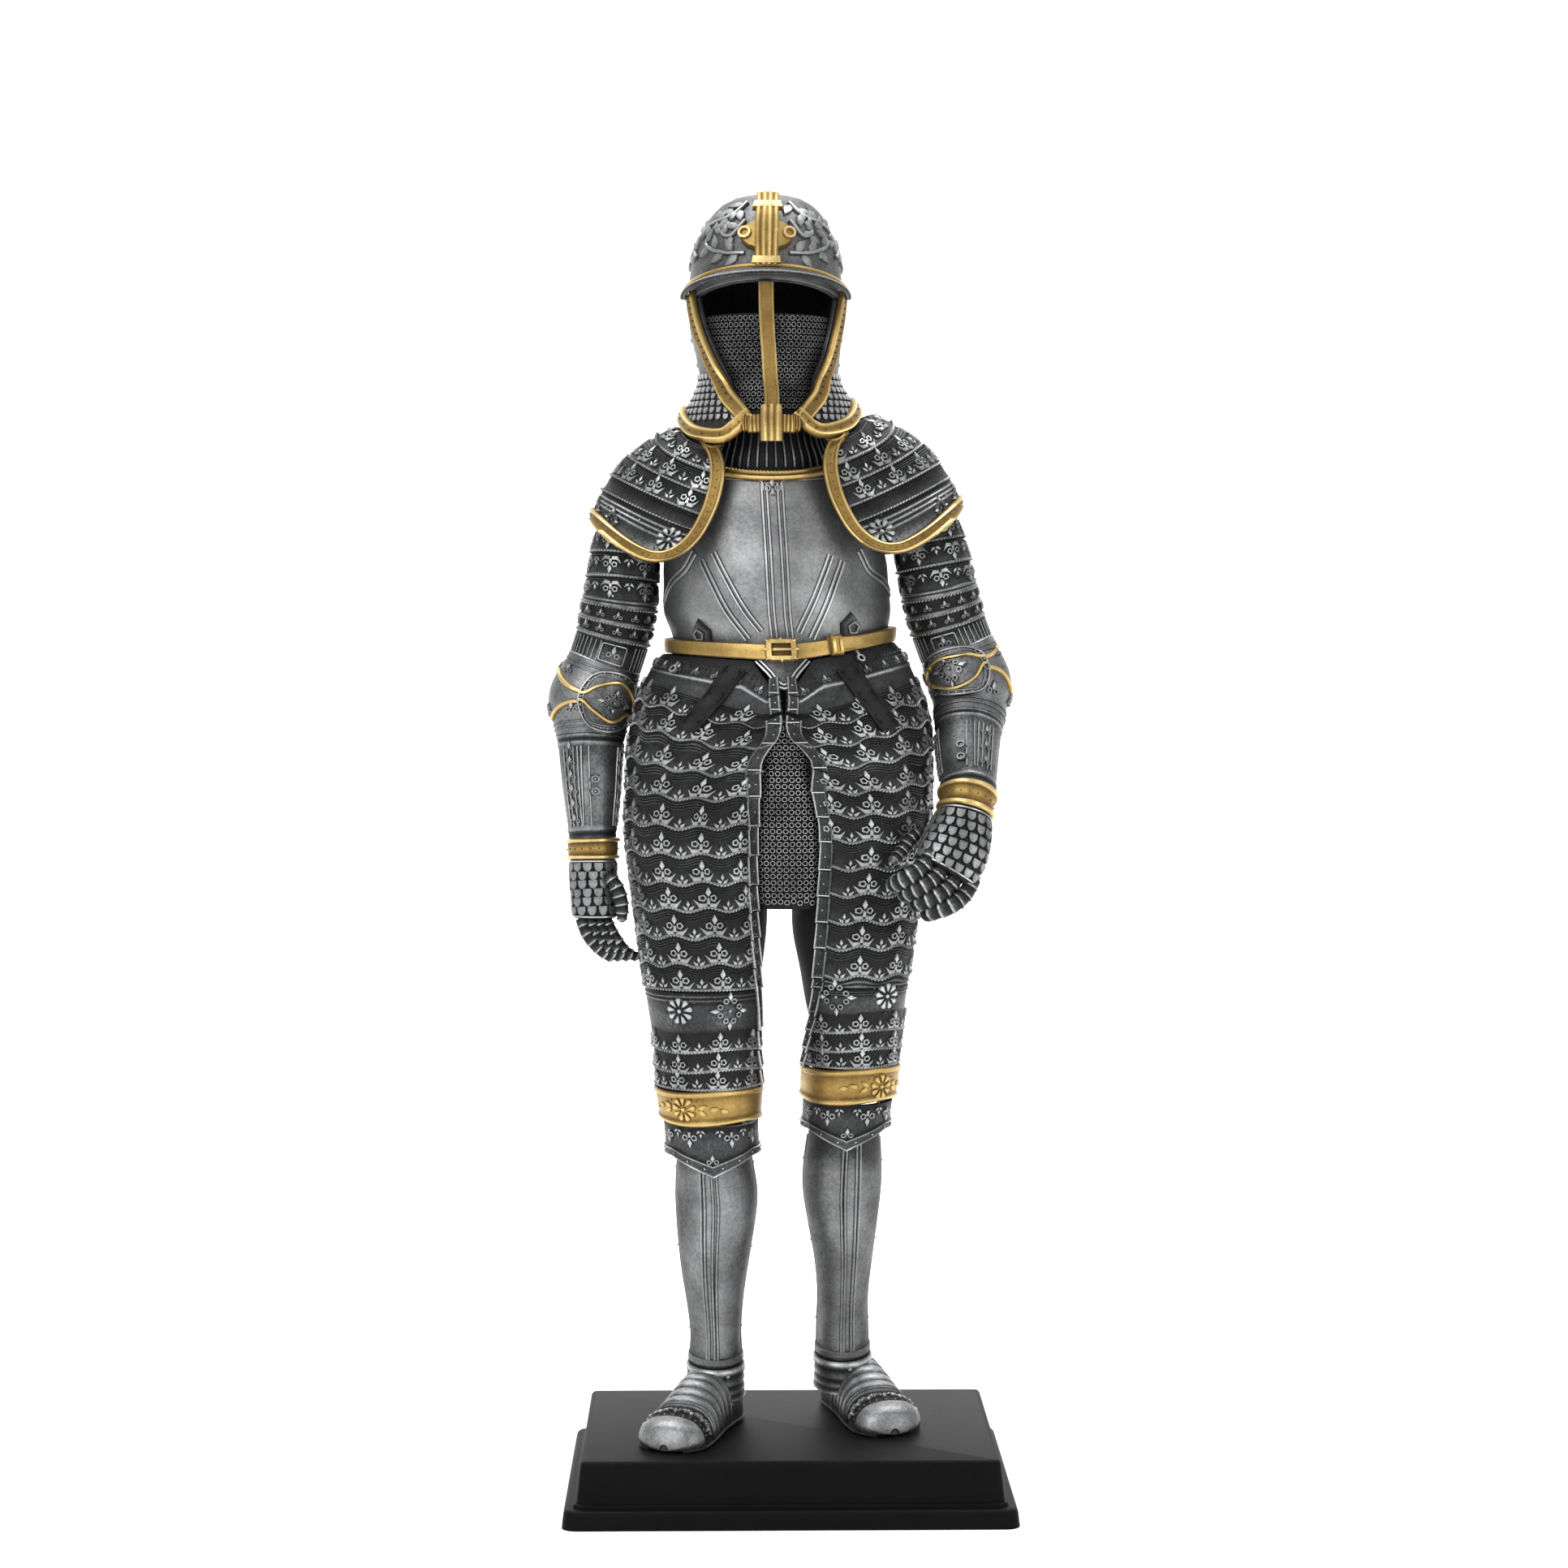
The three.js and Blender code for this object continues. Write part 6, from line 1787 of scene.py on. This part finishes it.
work = Work()
for k in range(4):
    x, y = -50 + 2 * k, -3.8 + 0.7 * k
    finger(
        work,
        [(x, y, 138.6), (x + 1.8, y - 0.8, 134.6), (x + 4.6, y - 0.6, 131.2 - 0.2 * k), (x + 7.4, y + 0.4, 129)],
        [1.25, 1.4, 1.35, 1]
    )
work.done("fingers_r", weld=0.015)
work = Work()
finger(work, [(-43.2, -5.6, 149.5), (-41, -6.6, 146), (-39.9, -6.9, 142), (-39.9, -6.7, 138.6)], [1.3, 1.6, 1.5, 1])
work.done("thumb_r", weld=0.015)
work = Work()
for k in range(4):
    x, z = 31.4 + 3.2 * k, 152.4 - 2.3 * k
    finger(
        work,
        [
            (x + 2.6, -18.2, z + 3.8), (x, -19.6, z), (x - 3.4, -20.6, z - 2.4), (x - 6 - 0.5 * k, -19, z - 4),
            (x - 6.8 - 0.5 * k, -14.8, z - 4.8)
        ],
        [1.7, 1.95, 2.05, 1.95, 1.5]
    )
work.done("fingers_l", weld=0.015)
work = Work()
finger(
    work, [(31.6, -12.4, 160.4), (28.9, -13.2, 158.2), (26.6, -14.6, 155.4), (24.6, -16.4, 153.4)],
    [1.4, 1.7, 1.6, 1.1]
)
work.done("thumb_l", weld=0.015)


# ---- Plinth --------------------------------------------------------------------------------------
def block(bm, half_x, half_y, low, high, taper, corner, brim):
    """A tapered box whose upright corners and upper brim are rounded, each by its own amount."""
    made = bmesh.ops.create_cube(bm, size=2)["verts"]
    for v in made:
        top = v.co.z > 0
        v.co.x *= half_x - (taper if top else 0)
        v.co.y *= half_y - (taper if top else 0)
        v.co.z = high if top else low
    upright = [
        e for e in {e for v in made for e in v.link_edges} if abs(e.verts[0].co.z - e.verts[1].co.z) > 0.1 * MM
    ]
    bmesh.ops.bevel(bm, geom=upright, offset=corner, segments=4, profile=0.5, affect="EDGES")
    around = [
        e for e in bm.edges if all(abs(v.co.z - high) < 0.001 * MM for v in e.verts) and e.calc_face_angle(0) > 0.5
    ]
    bmesh.ops.bevel(bm, geom=around, offset=brim, segments=3, profile=0.5, affect="EDGES")


bm = bmesh.new()
block(bm, 53.3 * MM, 39.7 * MM, 0, 4.4 * MM, 0.5 * MM, 3.2 * MM, 1.1 * MM)
block(bm, 51.2 * MM, 37.2 * MM, 0.4 * MM, 5.3 * MM, 0.5 * MM, 2 * MM, 0.4 * MM)
block(bm, 50.5 * MM, 36.5 * MM, 0.8 * MM, 14.9 * MM, 1.5 * MM, 1.6 * MM, 0.9 * MM)
mesh = keep(bm, "plinth_block")
mesh.shade_smooth()
mesh.set_sharp_from_angle(angle=math.radians(40))
mesh.materials.append(plinth_black)
plinth = bpy.data.objects.new("plinth_block", mesh)
bpy.context.scene.collection.objects.link(plinth)
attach(plinth, "root")
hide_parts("plinth")


# ---- Stage, light and camera ---------------------------------------------------------------------
def stage_floor():
    """A pale floor that curves up into a pale wall behind."""
    material, shader, _, _ = nodes_for("pale_floor")
    shader.inputs["Base Color"].default_value = (0.9, 0.9, 0.9, 1)
    shader.inputs["Roughness"].default_value = 0.9
    shader.inputs["Specular IOR Level"].default_value = 0
    bm = bmesh.new()
    line = [bm.verts.new((-3, -2, 0)), bm.verts.new((-3, 1.2, 0))]
    for k in range(1, 9):
        a = math.radians(k * 90 / 8)
        line.append(bm.verts.new((-3, 1.2 + 0.8 * math.sin(a), 0.8 - 0.8 * math.cos(a))))
    line.append(bm.verts.new((-3, 2, 3.5)))
    edges = [bm.edges.new(pair) for pair in zip(line, line[1:])]
    moved = bmesh.ops.extrude_edge_only(bm, edges=edges)["geom"]
    bmesh.ops.translate(bm, vec=(6, 0, 0), verts=[v for v in moved if isinstance(v, bmesh.types.BMVert)])
    mesh = keep(bm, "floor")
    mesh.shade_smooth()
    mesh.materials.append(material)
    floor = bpy.data.objects.new("floor", mesh)
    bpy.context.scene.collection.objects.link(floor)


stage_floor()


def lamp(name, place, aim, size, power_watts):
    data = bpy.data.lights.new(name, "AREA")
    data.shape, data.size, data.size_y = "RECTANGLE", size[0], size[1]
    data.energy = power_watts
    light = bpy.data.objects.new(name, data)
    light.location = place
    way = np.array(aim) - np.array(place)
    light.rotation_euler = (math.atan2(math.hypot(way[0], way[1]), -way[2]), 0, math.atan2(-way[0], way[1]))
    bpy.context.scene.collection.objects.link(light)


MIDDLE = (0, 0, 0.17)
lamp("key", (-0.55, -0.95, 0.75), MIDDLE, (0.9, 0.9), 10)
lamp("fill", (0.8, -0.8, 0.35), MIDDLE, (0.5, 0.9), 4)
lamp("top", (0, 0.1, 1.1), MIDDLE, (0.9, 0.6), 9)
lamp("wall_wash", (0, 0.4, 1.8), (0, 1.9, 0.6), (2.5, 0.5), 75)

world = bpy.data.worlds.new("soft_room")
world.use_nodes = True
world.node_tree.nodes["Background"].inputs["Color"].default_value = (1, 1, 1, 1)
world.node_tree.nodes["Background"].inputs["Strength"].default_value = 0.58
bpy.context.scene.world = world
bpy.context.scene.view_settings.view_transform = "Standard"

camera = bpy.data.objects.new("camera", bpy.data.cameras.new("camera"))
camera.data.sensor_width = 36
camera.data.lens = 78.26
camera.data.shift_y = -0.0497
camera.location = (-0.0145, -0.820, 0.2238)
camera.rotation_euler = (math.radians(90 - 2.4), 0, math.radians(-0.941))
bpy.context.scene.collection.objects.link(camera)
bpy.context.scene.camera = camera
